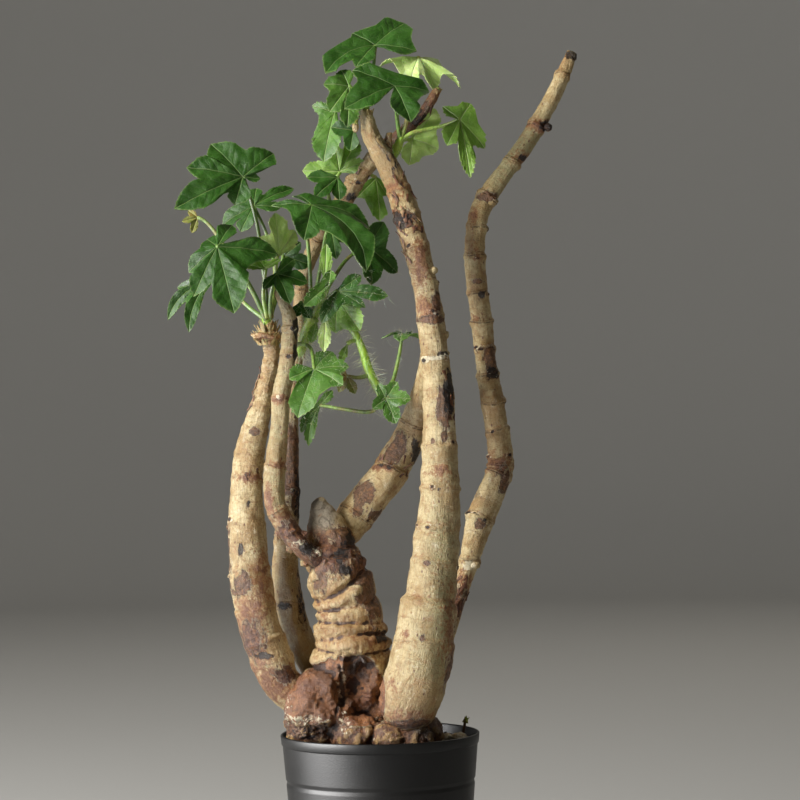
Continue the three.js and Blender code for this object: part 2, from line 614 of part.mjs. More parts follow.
// A leaf's junction, its upper direction and its lobes' frames
function leafFrame(leaf) {
  const origin = vector(leaf.junction);
  const ways = leaf.lobes.map((lobe) => vector(lobe).sub(origin));
  const up = upperDirection(leaf, ways);
  const lobes = leaf.lobes.map((lobe) => lobeFrame(leaf, lobe, up));
  addRoom(lobes);
  return { origin, up, lobes };
}

// The leaf's blade: a disc whose columns follow the edge, with an upper and a lower face
function bladeSolid(leaf) {
  const { origin, up, lobes } = leafFrame(leaf);
  const large = Math.max(...lobes.map((lobe) => lobe.length)) > LARGE_LEAF;
  const columns = edgeColumns(lobes, large ? TOOTHED_SIDE : PLAIN_SIDE, leaf.sinus ?? SINUS_PLACE);
  const shares = large ? [0, 0.5, 1] : [0, 1];
  const rows = [...shares.map((share) => [share, 1]), ...shares.toReversed().map((share) => [share, -1])];
  const section = rows.map(([share, y]) => new THREE.Vector2(share, y));
  const disc = new THREE.LatheGeometry(section, columns.length);
  const position = disc.attributes.position;
  for (let i = 0; i < position.count; i++) {
    const [share, face] = rows[i % rows.length];
    const column = columns[Math.floor(i / rows.length) % columns.length];
    const place = new THREE.Vector3();
    const outward = up.clone().multiplyScalar(1 - share);
    for (const [lobe, along, sideways] of column) {
      place.addScaledVector(placeOnLobe(origin, lobe, along * share, sideways * share), 1 / column.length);
      outward.addScaledVector(lobe.up, share / column.length);
    }
    place.addScaledVector(outward.normalize(), face * BLADE / 2);
    position.setXYZ(i, place.x, place.y, place.z);
  }
  return solidFrom(disc);
}

// A leaf's stalk, a little thinner towards the blade, which it meets at the heel behind the junction
function stalkSolid(leaf, grow = 0) {
  const { origin, lobes } = leafFrame(leaf);
  const heel = new THREE.Vector3();
  for (const lobe of lobes) heel.addScaledVector(placeOnLobe(origin, lobe, -HEEL_PLACE, 0), 1 / lobes.length);
  const points = [...leaf.stalk, heel.toArray()];
  const route = points.map((point, i) => [
    ...point,
    THREE.MathUtils.lerp(PETIOLE_RADIUS[0], PETIOLE_RADIUS[1], i / (points.length - 1)),
  ]);
  return stemSolid({ route, sides: PETIOLE_SIDES, step: PETIOLE_STEP, grow });
}

// A leaf: its blade and its stalk, cut clear of the stems, the shoots and the stalks before it
function leafSolid(leaf, clearance) {
  return largestBody(bladeSolid(leaf).add(stalkSolid(leaf)).subtract(clearance));
}

// The pot: a tapered wall with a thin rounded lip, a band under it, a shallow groove and a flat floor
function potSolid() {
  const outerAt = (z) => RIM_RADIUS - (POT_HEIGHT - z) * WALL_LEAN;
  const band = POT_HEIGHT - BAND_HEIGHT;
  const profile = [
    [0, 0], [outerAt(0) - FOOT_ROUND, 0], [outerAt(FOOT_ROUND), FOOT_ROUND],
    [outerAt(GROOVE_HEIGHT - 2) - BAND_STEP, GROOVE_HEIGHT - 2],
    [outerAt(GROOVE_HEIGHT) - BAND_STEP - GROOVE_DEPTH, GROOVE_HEIGHT],
    [outerAt(GROOVE_HEIGHT + 2) - BAND_STEP, GROOVE_HEIGHT + 2],
    [outerAt(band) - BAND_STEP, band], [outerAt(band + 1), band + 1],
    [RIM_RADIUS, POT_HEIGHT - LIP_ROUND], [RIM_RADIUS - LIP_ROUND, POT_HEIGHT],
    [RIM_RADIUS - WALL, POT_HEIGHT - LIP_ROUND],
    [outerAt(FLOOR) - WALL, FLOOR], [0, FLOOR],
  ];
  const section = profile.map(([r, z]) => new THREE.Vector2(r, z));
  const shell = solidFrom(new THREE.LatheGeometry(section, POT_SIDES));
  const holes = Array.from({ length: DRAIN_HOLES }, (_, i) => {
    const angle = (i + 0.5) * 2 * Math.PI / DRAIN_HOLES;
    const drill = new THREE.CylinderGeometry(DRAIN_RADIUS, DRAIN_RADIUS, 4 * FLOOR, 12);
    drill.translate(DRAIN_CIRCLE * Math.cos(angle), 0, DRAIN_CIRCLE * Math.sin(angle));
    return solidFrom(drill);
  });
  return shell.subtract(joined(holes)).rotate([90, 0, 0]);
}

// The plug of the caudex that stands in the soil, or with grow its plain hole
function footSolid(grow = 0) {
  const top = SOIL_TOP + 6;
  const plug = new THREE.CylinderGeometry(1, 1, top - FOOT.bottom + 2 * grow, 24);
  plug.rotateX(Math.PI / 2);
  plug.scale(FOOT.halfWidth + grow, FOOT.halfDepth + grow, 1);
  plug.translate(FOOT.x, FOOT.y, (top + FOOT.bottom) / 2);
  return solidFrom(plug);
}

// The soil: it fills the pot, with a mounded top and grit raised from it all the way round the caudex
function soilSolid(extraHoles) {
  const innerAt = (z) => RIM_RADIUS - WALL - GAP - (POT_HEIGHT - z) * WALL_LEAN;
  const bottom = FLOOR + GAP;
  const profile = [
    [0, bottom], [innerAt(bottom) - 1, bottom], [innerAt(SOIL_TOP) - 0.6, SOIL_TOP - 1],
    [46, SOIL_TOP], [38, SOIL_TOP + SOIL_MOUND], [0, SOIL_TOP + SOIL_MOUND],
  ];
  const body = new THREE.LatheGeometry(profile.map(([r, z]) => new THREE.Vector2(r, z)), POT_SIDES);
  const random = seededRandom(41);
  const grit = [];
  while (grit.length < GRIT_COUNT) {
    const angle = 2 * Math.PI * random();
    const reach = THREE.MathUtils.lerp(24, 46, Math.sqrt(random()));
    const radius = THREE.MathUtils.lerp(GRIT_RADIUS[0], GRIT_RADIUS[1], random());
    const [x, y] = [reach * Math.cos(angle), reach * Math.sin(angle)];
    const underCaudex = Math.hypot((x + 5) / 45, (y + 7) / 31) < 1;
    const atPumice = x > 24 && y > -10 && y < 14;
    if (!underCaudex && !atPumice) {
      const grain = new THREE.IcosahedronGeometry(radius, 0);
      grain.rotateX(6 * random());
      grain.rotateZ(6 * random());
      grain.translate(x, y, SOIL_TOP + SOIL_MOUND / 2 + GRIT_SINK);
      grit.push(solidFrom(grain));
    }
  }
  return joined([solidFrom(body).rotate([90, 0, 0]), ...grit]).subtract(extraHoles);
}

// Everything below the soil's top, which only the foot of the caudex enters
function belowSoil() {
  const block = new THREE.CylinderGeometry(RIM_RADIUS + 8, RIM_RADIUS + 8, 60, 32);
  block.rotateX(Math.PI / 2);
  block.translate(0, 0, SOIL_TOP + SOIL_MOUND + 3 * GAP - 30);
  return solidFrom(block);
}

// The caudex with every woody stem, grown as one piece
function woodySolid() {
  const masses = caudexMasses.map(([centre, halves, facets]) => lumpSolid(centre, halves, facets, 0.07));
  const bumps = knobs.map(([centre, halves]) => lumpSolid(centre, halves, KNOB_FACETS));
  const { stump, ...others } = stems;
  const hollowed = stemSolid(stump).add(masses[0]).add(masses[1]).subtract(lumpSolid(...HOLLOW));
  const rest = Object.values(others).map((stem) => stemSolid(stem));
  const all = joined([hollowed, ...rest, ...masses.slice(2), ...bumps]);
  return largestBody(all.subtract(belowSoil()).add(footSolid()));
}

// What shoots and leaves stay clear of: the woody parts a little larger
function woodyClearance() {
  const grown = Object.values(stems).map((stem) => stemSolid({ ...stem, grow: GAP }));
  const bumps = knobs.map(([centre, halves]) => {
    const larger = halves.map((half) => half + GAP);
    return lumpSolid(centre, larger, KNOB_FACETS);
  });
  return joined([...grown, ...bumps]);
}

// A pale pumice grain on the soil
function pumiceSolid([x, y, radius]) {
  const grain = new THREE.IcosahedronGeometry(radius, 0);
  grain.rotateX(x);
  grain.scale(1.25, 1, 0.8);
  grain.translate(x, y, SOIL_TOP + SOIL_MOUND + GAP + radius * 0.75);
  return solidFrom(grain);
}
const PUMICE = [[35, 3, 2.6], [42, -1, 3.1], [39, 8, 2]];

// A dry leaf stalk with a knob on top that stands in the soil
const DRY_STALK = {
  sides: 6, step: 5,
  route: [
    [43.5, 6, 91, 0.9], [44, 6, 98, 0.8], [45, 6, 103.5, 0.7], [45.2, 6, 104.5, 1.3], [45.4, 6, 105.6, 0.8],
  ],
};

const wood = woodySolid();
const woodClear = woodyClearance();
const dryStalkHole = stemSolid({ ...DRY_STALK, grow: GAP });
const potGroup = new THREE.Group();
potGroup.add(meshFrom('pot', potSolid(), finish.pot));
potGroup.add(meshFrom('soil', soilSolid(footSolid(GAP).add(dryStalkHole)), finish.soil));
PUMICE.forEach((grain, i) => {
  potGroup.add(meshFrom(`pumice_grain_${i + 1}`, pumiceSolid(grain), finish.pumice));
});
potGroup.add(meshFrom('dry_stalk', stemSolid(DRY_STALK), finish.deadStalk));

const plantGroup = new THREE.Group();
plantGroup.add(meshFrom('caudex_and_stems', wood, finish.bark));
for (const [name, shoot] of Object.entries(shoots)) {
  const solid = largestBody(stemSolid(shoot).subtract(woodClear));
  plantGroup.add(meshFrom(`shoot_${name}`, solid, finish.shoot));
}

const shootClear = joined(Object.values(shoots).map((shoot) => stemSolid({ ...shoot, grow: GAP })));
const leafGroup = new THREE.Group();
let taken = woodClear.add(shootClear);
for (const [name, leaf] of Object.entries(leaves)) {
  leafGroup.add(meshFrom(`leaf_${name}`, leafSolid(leaf, taken), finish[leaf.finish ?? 'leaf']));
  taken = taken.add(stalkSolid(leaf, GAP));
}
plantGroup.add(leafGroup);

const group = new THREE.Group();
group.add(potGroup, plantGroup);

export default group;
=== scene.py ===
"""A potted caudex plant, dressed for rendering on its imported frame.

Sizes are millimetres, as in the part's own source, and MM turns them into Blender's metres.
Seen from the front, along +Y, the plant's left is -X, and what is nearer the viewer has a lower Y.
"""

import logging
import math
from dataclasses import dataclass, field
from enum import Enum
from typing import Callable, Sequence

import bpy
import numpy as np
from mathutils import Matrix, Vector, noise


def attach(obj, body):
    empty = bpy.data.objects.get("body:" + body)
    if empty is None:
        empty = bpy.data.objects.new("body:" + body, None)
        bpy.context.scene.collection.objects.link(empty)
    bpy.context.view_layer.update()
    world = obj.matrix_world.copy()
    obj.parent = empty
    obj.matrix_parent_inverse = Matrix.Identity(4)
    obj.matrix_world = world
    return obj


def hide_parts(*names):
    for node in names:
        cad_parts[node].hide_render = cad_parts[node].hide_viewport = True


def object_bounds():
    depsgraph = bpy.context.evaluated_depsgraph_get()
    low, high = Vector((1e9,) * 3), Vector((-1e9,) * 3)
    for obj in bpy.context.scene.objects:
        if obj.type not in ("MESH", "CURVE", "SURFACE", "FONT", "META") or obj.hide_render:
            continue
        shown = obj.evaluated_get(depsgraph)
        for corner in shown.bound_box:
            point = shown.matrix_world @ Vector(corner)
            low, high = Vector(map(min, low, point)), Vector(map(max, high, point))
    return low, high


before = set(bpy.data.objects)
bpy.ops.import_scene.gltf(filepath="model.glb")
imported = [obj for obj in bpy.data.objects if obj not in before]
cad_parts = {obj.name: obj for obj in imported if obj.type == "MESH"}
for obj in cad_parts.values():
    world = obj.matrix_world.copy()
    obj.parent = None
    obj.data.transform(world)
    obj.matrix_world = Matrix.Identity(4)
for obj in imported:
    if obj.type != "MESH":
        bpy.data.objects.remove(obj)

LOG = logging.getLogger("potted_plant")
MM = 0.001
CAD_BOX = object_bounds()

Array = np.ndarray
Dice = np.random.Generator
Material = bpy.types.Material
Piece = bpy.types.Object
Point = tuple[float, float, float]
Rows = Sequence[Sequence[float]]
Span = tuple[float, float]
Tone = tuple[float, float, float, float]


def tone(code: str) -> Tone:
    """Turns a colour code into linear light.

    Args:
        code: six hex digits, as on a colour card.

    Returns:
        The linear red, green and blue, and full cover.
    """
    parts = [int(code[i:i + 2], 16) / 255 for i in (0, 2, 4)]
    linear = [c / 12.92 if c <= 0.04045 else ((c + 0.055) / 1.055) ** 2.4 for c in parts]
    return (*linear, 1.0)


class Wire:
    """A value that runs from node to node, with the arithmetic of a number."""

    def __init__(self, paint: "Paint", socket: bpy.types.NodeSocket) -> None:
        """Holds the output of a node."""
        self.paint, self.socket = paint, socket

    def __add__(self, other: "Wire | float") -> "Wire":
        """Adds a number or a wire."""
        return self.paint.sum("ADD", self, other)

    def __sub__(self, other: "Wire | float") -> "Wire":
        """Takes away a number or a wire."""
        return self.paint.sum("SUBTRACT", self, other)

    def __rsub__(self, other: float) -> "Wire":
        """Takes the wire away from a number."""
        return self.paint.sum("SUBTRACT", other, self)

    def __mul__(self, other: "Wire | float") -> "Wire":
        """Multiplies by a number or a wire."""
        return self.paint.sum("MULTIPLY", self, other)

    def __abs__(self) -> "Wire":
        """Drops the sign."""
        return self.paint.sum("ABSOLUTE", self)


class Paint:
    """One material's node graph, with a short method for each kind of node it uses."""

    def __init__(self, name: str) -> None:
        """Starts a material with a plain shader.

        Args:
            name: the material's name.
        """
        self.material = bpy.data.materials.new(name)
        self.material.use_nodes = True
        tree = self.material.node_tree
        tree.nodes.clear()
        self.nodes, self.links = tree.nodes, tree.links
        self.shader = self.nodes.new("ShaderNodeBsdfPrincipled")
        output = self.nodes.new("ShaderNodeOutputMaterial")
        self.links.new(self.shader.outputs["BSDF"], output.inputs["Surface"])

    def feed(self, node: bpy.types.Node, inputs: dict[int | str, object]) -> None:
        """Sets a node's inputs.

        Args:
            node: the node.
            inputs: what each takes: a number, a colour code or another node's wire.
        """
        for key, value in inputs.items():
            if isinstance(value, Wire):
                self.links.new(value.socket, node.inputs[key])
            else:
                node.inputs[key].default_value = tone(value) if isinstance(value, str) else value

    def node(self, kind: str, inputs: dict[int | str, object], output: int | str = 0,
             **settings: object) -> Wire:
        """Adds a node.

        Args:
            kind: its type.
            inputs: what its inputs take.
            output: the output that is wanted.
            settings: its other settings.

        Returns:
            The output.
        """
        node = self.nodes.new("ShaderNode" + kind)
        for key, value in settings.items():
            setattr(node, key, value)
        self.feed(node, inputs)
        return Wire(self, node.outputs[output])

    def place(self, stretch: Point = (1, 1, 1), source: Wire | None = None) -> Wire:
        """Gives the place on the piece, or another vector, stretched along its axes."""
        source = source or self.node("TexCoord", {}, "Object")
        return self.node("Mapping", {"Vector": source, "Scale": stretch})

    def data(self, name: str, kind: str = "Fac") -> Wire:
        """Reads a value that the piece's mesh carries."""
        return self.node("Attribute", {}, kind, attribute_name=name)

    def cloud(self, where: Wire, scale: float, detail: float = 3, rough: float = 0.5,
              twist: float = 0) -> Wire:
        """Gives a cloudy pattern from 0 to 1."""
        return self.node("TexNoise", {"Vector": where, "Scale": scale, "Detail": detail, "Roughness": rough,
                                      "Distortion": twist})

    def cells(self, where: Wire, scale: float, feature: str = "F1") -> Wire:
        """Gives the distance from the middle or the edge of scattered cells."""
        return self.node("TexVoronoi", {"Vector": where, "Scale": scale}, "Distance", feature=feature)

    def sum(self, kind: str, first: Wire | float, second: Wire | float = 0.0, clamp: bool = False) -> Wire:
        """Combines two numbers by a named operation."""
        return self.node("Math", {0: first, 1: second}, operation=kind, use_clamp=clamp)

    def ease(self, value: Wire, low: float, high: float, start: float = 0, end: float = 1) -> Wire:
        """Turns a range of a value into another range, smoothly at both ends."""
        return self.node("MapRange", {"Value": value, "From Min": low, "From Max": high, "To Min": start,
                                      "To Max": end}, interpolation_type="SMOOTHSTEP")

    def blend(self, share: Wire | float, first: Wire | str, second: Wire | str, kind: str = "MIX") -> Wire:
        """Mixes two colours."""
        return self.node("Mix", {0: share, 6: first, 7: second}, 2, data_type="RGBA", blend_type=kind)

    def layers(self, colour: Wire | str, *coats: tuple[Wire, Wire | str]) -> Wire:
        """Lays colours one over the other.

        Args:
            colour: the ground.
            coats: the share and the colour of each coat.

        Returns:
            The mixed colour.
        """
        for share, over in coats:
            colour = self.blend(share, colour, over)
        return colour

    def relief(self, height: Wire, depth: float, under: Wire | None = None) -> Wire:
        """Turns a height into a bump of a depth in millimetres, over another bump if one is given."""
        below = {"Normal": under} if under else {}
        return self.node("Bump", {"Distance": depth * MM, "Height": height, **below}, "Normal")

    def coat(self, colour: Wire, rough: Wire | float, normal: Wire | None = None,
             **constants: object) -> Material:
        """Sets the shader.

        Args:
            colour: the base colour.
            rough: the roughness.
            normal: the bump, if there is one.
            constants: other sockets of the shader, by name with _ for a space.

        Returns:
            The finished material.
        """
        self.feed(self.shader, {"Base Color": colour, "Roughness": rough})
        if normal:
            self.feed(self.shader, {"Normal": normal})
        self.feed(self.shader, {key.replace("_", " "): value for key, value in constants.items()})
        return self.material


@dataclass(frozen=True)
class BarkFinish:
    """Cream to olive bark with scar rings, scuffs and brown patches, the brown skin of the caudex, and
    painted shade and highlights.
    """

    cream: str = "e2d0a2"
    tan: str = "a98654"
    olive: str = "a8a277"
    amber: str = "97643a"
    mauve: str = "7c4f36"
    maroon: str = "6a4231"
    maroon_dark: str = "38211a"
    black: str = "1c120e"
    pale: str = "efe5c8"
    grey: str = "958a78"
    face: str = "aa7448"
    face_dark: str = "74472a"
    root: str = "80583c"
    root_dark: str = "44291c"

    def patch(self, p: Paint, name: str, run: Wire, scale: float, wild: float) -> tuple[Wire, Wire]:
        """Cuts a patch with a ragged edge out of a value that the mesh carries.

        Args:
            p: the graph.
            name: the value's name.
            run: the place on the unbent stem.
            scale: how fine the ragged edge is.
            wild: how far the edge strays.

        Returns:
            The patch and the thin rim round it.
        """
        edge = p.cloud(p.place((1, 1, 0.55), run), scale, 6, 0.66, 0.6)
        bias = p.data(name) + (edge - 0.5) * wild
        inside = p.ease(bias, 0.5, 0.6)
        return inside, p.ease(bias, 0.42, 0.5) * (1.0 - inside)

    def skin(self, p: Paint, run: Wire, fine: Wire, mottle: Wire) -> Wire:
        """Mixes the sound bark: cream with tan and olive clouds, scuffs and faint wrinkles.

        Args:
            p: the graph.
            run: the place on the unbent stem.
            fine: a fine pattern.
            mottle: a coarse pattern.

        Returns:
            The colour.
        """
        near_ring = p.ease(abs(p.data("ring")), 4.0, 0.4)
        wrinkle = p.cloud(p.place((0.5, 0.5, 2.4), run), 220, 4, 0.6, 0.3)
        olive = p.data("olive") * p.ease(p.cloud(run, 60, 3), 0.3, 0.6, 0.55, 1.0)
        tan = p.data("tan") + near_ring * p.ease(fine, 0.35, 0.65)
        return p.layers(
            self.cream,
            (p.ease(mottle, 0.4, 0.62, 0, 0.9), self.tan),
            (olive, self.olive),
            (p.sum("MULTIPLY", tan, 0.6, True), self.tan),
            (p.ease(fine, 0.46, 0.7, 0, 0.7), self.tan),
            (p.ease(wrinkle, 0.56, 0.68, 0, 0.4), self.amber),
            (p.ease(p.cloud(run, 140, 5, 0.7, 0.3), 0.54, 0.68, 0, 0.5), self.amber),
            (p.ease(p.cloud(run, 190, 5, 0.75), 0.56, 0.7, 0, 0.45), self.pale))

    def material(self) -> Material:
        """Builds the bark, which reads its marks and the run of the stem from the mesh.

        Returns:
            The material.
        """
        p = Paint("bark")
        run = p.data("grain", "Vector")
        fibre = p.cloud(p.place((1, 1, 0.07), run), 1500, 4, 0.6)
        mottle = p.cloud(run, 75, 5, 0.62)
        blotch = p.cloud(run, 230, 5, 0.68, 0.4) - 0.5
        fine = p.cloud(run, 520, 5, 0.7)
        stray = fine - 0.5
        grit = p.cloud(run, 1500, 3, 0.6)

        amber = p.data("ruddy") + blotch * 2.2 + stray * 1.8
        stain, stain_rim = self.patch(p, "stain", run, 210, 1.9)
        dark, dark_rim = self.patch(p, "dark", run, 380, 2.0)
        maroon = p.layers(
            self.maroon,
            (p.ease(fine, 0.36, 0.66), self.maroon_dark),
            (p.ease(p.cloud(run, 420, 5, 0.7), 0.5, 0.62, 0, 0.7), self.amber),
            (p.ease(p.cloud(run, 700, 4, 0.7), 0.58, 0.66, 0, 0.6), self.tan))
        ring, ringed = p.data("ring"), p.data("ringed")
        line = p.ease(abs(ring), 0.5, 0.1) * (p.ease(p.cloud(run, 300, 4, 0.65), 0.44, 0.56) * ringed)
        lip = p.ease(abs(ring - 0.9), 0.9, 0.1) * ringed
        specks = p.ease(p.cells(p.place((1, 1, 0.6), run), 300), 0.18, 0.1)
        dots = p.ease(p.cells(run, 620), 0.16, 0.09) * p.ease(mottle, 0.44, 0.56)
        colour = p.layers(
            self.skin(p, run, fine, mottle),
            (p.ease(amber, 0.3, 0.8, 0, 0.8), self.amber),
            (p.ease(amber, 0.72, 1.1, 0, 0.85), self.mauve),
            (stain_rim * 0.35, self.pale), (stain * 0.88, maroon),
            (dark_rim * 0.7, self.amber), (dark * 0.93, self.black),
            (p.ease(p.data("grey") + fine * 0.4, 0.4, 0.9), self.grey),
            (lip * 0.3, self.mauve), (line * 0.85, self.maroon_dark), (dots * 0.55, self.mauve),
            (specks * p.ease(p.cloud(run, 120, 2), 0.44, 0.54) * 0.8, self.maroon))

        face = p.data("face") + blotch * 0.9
        inner = p.ease(face, 0.45, 0.55)
        rim = p.ease(face, 0.28, 0.42) * p.ease(face, 0.62, 0.48)
        face_skin = p.layers(
            self.face,
            (p.ease(mottle, 0.38, 0.62), self.face_dark),
            (p.ease(p.cloud(run, 160, 5, 0.7), 0.53, 0.7, 0, 0.6), self.maroon_dark),
            (p.ease(grit, 0.42, 0.62, 0, 0.75), self.face_dark),
            (p.ease(fine, 0.52, 0.66, 0, 0.7), self.maroon_dark),
            (p.ease(p.cloud(run, 420, 4, 0.7), 0.6, 0.68) * 0.5, self.tan))
        root_skin = p.layers(
            self.root,
            (p.ease(fine, 0.36, 0.64), self.root_dark),
            # painted highlight: tan on the ridges of the roots, partly the light catching the bumps and
            # partly their worn edges
            (p.ease(p.data("ridge") + stray * 1.4, 0.3, 0.8, 0, 0.85), self.tan))
        crease = p.data("crease") + stray * 0.8
        colour = p.layers(
            colour,
            (inner, face_skin), (rim * 0.5, self.pale),
            (p.ease(p.data("root") + blotch * 0.8, 0.4, 0.6), root_skin),
            # painted shade: black inside the arched hollow, deepest up under its lip, and under the foot of
            # the main stem
            (p.ease(p.data("hollow"), 0.0, 1.0, 0, 0.9), self.black),
            (p.ease(p.data("pale") + stray * 2.6, 0.5, 0.65) * 0.85, self.pale),
            # painted shade: the concave folds and creases darkened to amber and dark maroon, together with
            # the real dark of the cracks and slits
            (p.ease(crease, 0.1, 0.45, 0, 0.55), self.amber),
            (p.ease(crease, 0.32, 0.8, 0, 0.92), self.maroon_dark))
        colour = p.blend(p.ease(fibre, 0.4, 0.7, 0.0, 0.22), colour, self.maroon_dark, "MULTIPLY")

        bump = p.relief(fibre * 0.3 + fine * 0.8 + grit * 0.3, 1.4)
        bump = p.relief(stain_rim + dark_rim - (stain + dark), 0.3, bump)
        bump = p.relief(lip * 0.8 - line, 0.5, bump)
        bump = p.relief(rim - inner, 0.6, bump)
        return p.coat(colour, p.ease(fine, 0.3, 0.7, 0.4, 0.68), bump, Specular_IOR_Level=0.35)


class Mesh:
    """Helpers that start a piece as a primitive and finish it with modifiers."""

    @staticmethod
    def clear_selection() -> None:
        """Deselects everything."""
        bpy.ops.object.select_all(action="DESELECT")

    @staticmethod
    def pick(*pieces: Piece) -> None:
        """Selects pieces alone and makes the first one active.

        Args:
            pieces: the pieces.
        """
        Mesh.clear_selection()
        for piece in pieces:
            piece.select_set(True)
        bpy.context.view_layer.objects.active = pieces[0]

    @staticmethod
    def named(name: str) -> Piece:
        """Names the object that was just added.

        Args:
            name: its name.

        Returns:
            The object.
        """
        piece = bpy.context.object
        piece.name = piece.data.name = name
        return piece

    @staticmethod
    def raw(name: str, corners: Array, polygons: Sequence[Sequence[int]]) -> Piece:
        """Makes a piece of many small like shapes.

        Args:
            name: the piece's name.
            corners: places in millimetres.
            polygons: the numbers of each polygon's corners.

        Returns:
            The piece.
        """
        mesh = bpy.data.meshes.new(name)
        mesh.from_pydata((corners * MM).tolist(), [], polygons)
        piece = bpy.data.objects.new(name, mesh)
        bpy.context.scene.collection.objects.link(piece)
        return piece

    @staticmethod
    def turned(profile: Rows, around: int, way: int = 1) -> Array:
        """Turns a profile round the upright axis.

        Args:
            profile: rows of radius and height.
            around: the number of steps in the turn.
            way: 1, or -1 to turn the other way.

        Returns:
            Rows x (around + 1) x 3 corners.
        """
        reach, height = np.array(profile, float).T[..., None]
        angle = np.linspace(0, way * 2 * np.pi, around + 1)
        return np.stack([reach * np.cos(angle), reach * np.sin(angle), height + 0 * angle], axis=2)

    @staticmethod
    def rolled(name: str, corners: Array, closed: bool = True,
               carried: dict[str, Array] | None = None) -> Piece:
        """Bends a grid primitive through rows of corners and closes its seam and its ends.

        Args:
            name: the piece's name.
            corners: rows x columns x 3 places in millimetres, the last column equal to the first.
            closed: whether doubles are merged afterwards.
            carried: values to store with the corners, by name.

        Returns:
            The piece.
        """
        rows, columns = corners.shape[:2]
        Mesh.clear_selection()
        bpy.ops.mesh.primitive_grid_add(x_subdivisions=columns - 1, y_subdivisions=rows - 1, size=2)
        piece = Mesh.named(name)
        Mesh.set_places(piece, corners.reshape(-1, 3) * MM)
        for key, values in (carried or {}).items():
            Mesh.carry(piece, key, values.reshape(rows * columns, -1).squeeze())
        if closed:
            Mesh.in_edit(piece, lambda: bpy.ops.mesh.remove_doubles(threshold=1e-6))
        return piece

    @staticmethod
    def in_edit(piece: Piece, step: Callable[[], object]) -> None:
        """Runs a step in edit mode on all of a piece.

        Args:
            piece: the piece.
            step: the step.
        """
        Mesh.pick(piece)
        bpy.ops.object.mode_set(mode="EDIT")
        bpy.ops.mesh.select_all(action="SELECT")
        step()
        bpy.ops.object.mode_set(mode="OBJECT")

    @staticmethod
    def outward(piece: Piece) -> None:
        """Turns a closed piece's faces outwards."""
        Mesh.in_edit(piece, lambda: bpy.ops.mesh.normals_make_consistent(inside=False))

    @staticmethod
    def read(rows: bpy.types.bpy_prop_collection, name: str, width: int, kind: type = float) -> Array:
        """Reads a mesh's values in one go.

        Args:
            rows: its vertices, edges or the like.
            name: the value's name.
            width: how many numbers each row has.
            kind: the type of the numbers.

        Returns:
            Rows x width numbers.
        """
        flat = np.empty(len(rows) * width, kind)
        rows.foreach_get(name, flat)
        return flat.reshape(-1, width)

    @staticmethod
    def places(piece: Piece) -> Array:
        """Gives a mesh's vertex places in metres."""
        return Mesh.read(piece.data.vertices, "co", 3)

    @staticmethod
    def set_places(piece: Piece, places: Array) -> None:
        """Moves a mesh's vertices."""
        piece.data.vertices.foreach_set("co", places.ravel())
        piece.data.update()

    @staticmethod
    def normals(piece: Piece) -> Array:
        """Gives a mesh's vertex normals."""
        return Mesh.read(piece.data.vertex_normals, "vector", 3)

    @staticmethod
    def carry(piece: Piece, name: str, values: Array) -> None:
        """Stores a number or a vector for each vertex.

        Args:
            piece: the piece.
            name: the value's name.
            values: one row for each vertex.
        """
        vector = values.ndim == 2
        layer = piece.data.attributes.new(name, "FLOAT_VECTOR" if vector else "FLOAT", "POINT")
        layer.data.foreach_set("vector" if vector else "value", values.astype(np.float32).ravel())

    @staticmethod
    def modify(piece: Piece, kind: str, **settings: object) -> None:
        """Adds a modifier and applies it.

        Args:
            piece: the piece.
            kind: the modifier.
            settings: its settings.
        """
        Mesh.pick(piece)
        modifier = piece.modifiers.new(kind.lower(), kind)
        for key, value in settings.items():
            setattr(modifier, key, value)
        bpy.ops.object.modifier_apply(modifier=modifier.name)

    @staticmethod
    def cut(piece: Piece, cutter: Piece) -> None:
        """Takes a cutter's shape out of a piece."""
        Mesh.modify(piece, "BOOLEAN", operation="DIFFERENCE", solver="EXACT", object=cutter)
        bpy.data.objects.remove(cutter)

    @staticmethod
    def join(name: str, parts: Sequence[Piece]) -> Piece:
        """Joins meshes into one piece.

        Args:
            name: the piece's name.
            parts: the meshes.

        Returns:
            The piece.
        """
        Mesh.pick(*parts)
        if len(parts) > 1:
            bpy.ops.object.join()
        return Mesh.named(name)

    @staticmethod
    def smooth(piece: Piece, angle: float = 180) -> None:
        """Shades a piece smoothly up to an angle."""
        Mesh.pick(piece)
        bpy.ops.object.shade_smooth_by_angle(angle=math.radians(angle))

    @staticmethod
    def dress(piece: Piece, *coats: Material) -> None:
        """Gives a piece its materials.

        Args:
            piece: the piece.
            coats: the materials, in the order of its slots.
        """
        piece.data.materials.clear()
        for coat in coats:
            piece.data.materials.append(coat)


def seat(piece: Piece, slot: str, *nodes: str, coat: Material | None = None, angle: float = 180) -> None:
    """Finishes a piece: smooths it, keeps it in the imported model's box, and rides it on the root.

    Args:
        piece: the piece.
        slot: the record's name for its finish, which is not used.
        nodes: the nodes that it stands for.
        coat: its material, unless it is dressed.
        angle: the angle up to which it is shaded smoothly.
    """
    Mesh.smooth(piece, angle)
    Mesh.set_places(piece, np.clip(Mesh.places(piece), *CAD_BOX))
    if coat:
        Mesh.dress(piece, coat)
    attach(piece, "root")
    if nodes:
        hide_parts(*nodes)
    piece.data.calc_loop_triangles()
    LOG.info("%s: %d triangles", piece.name, len(piece.data.loop_triangles))


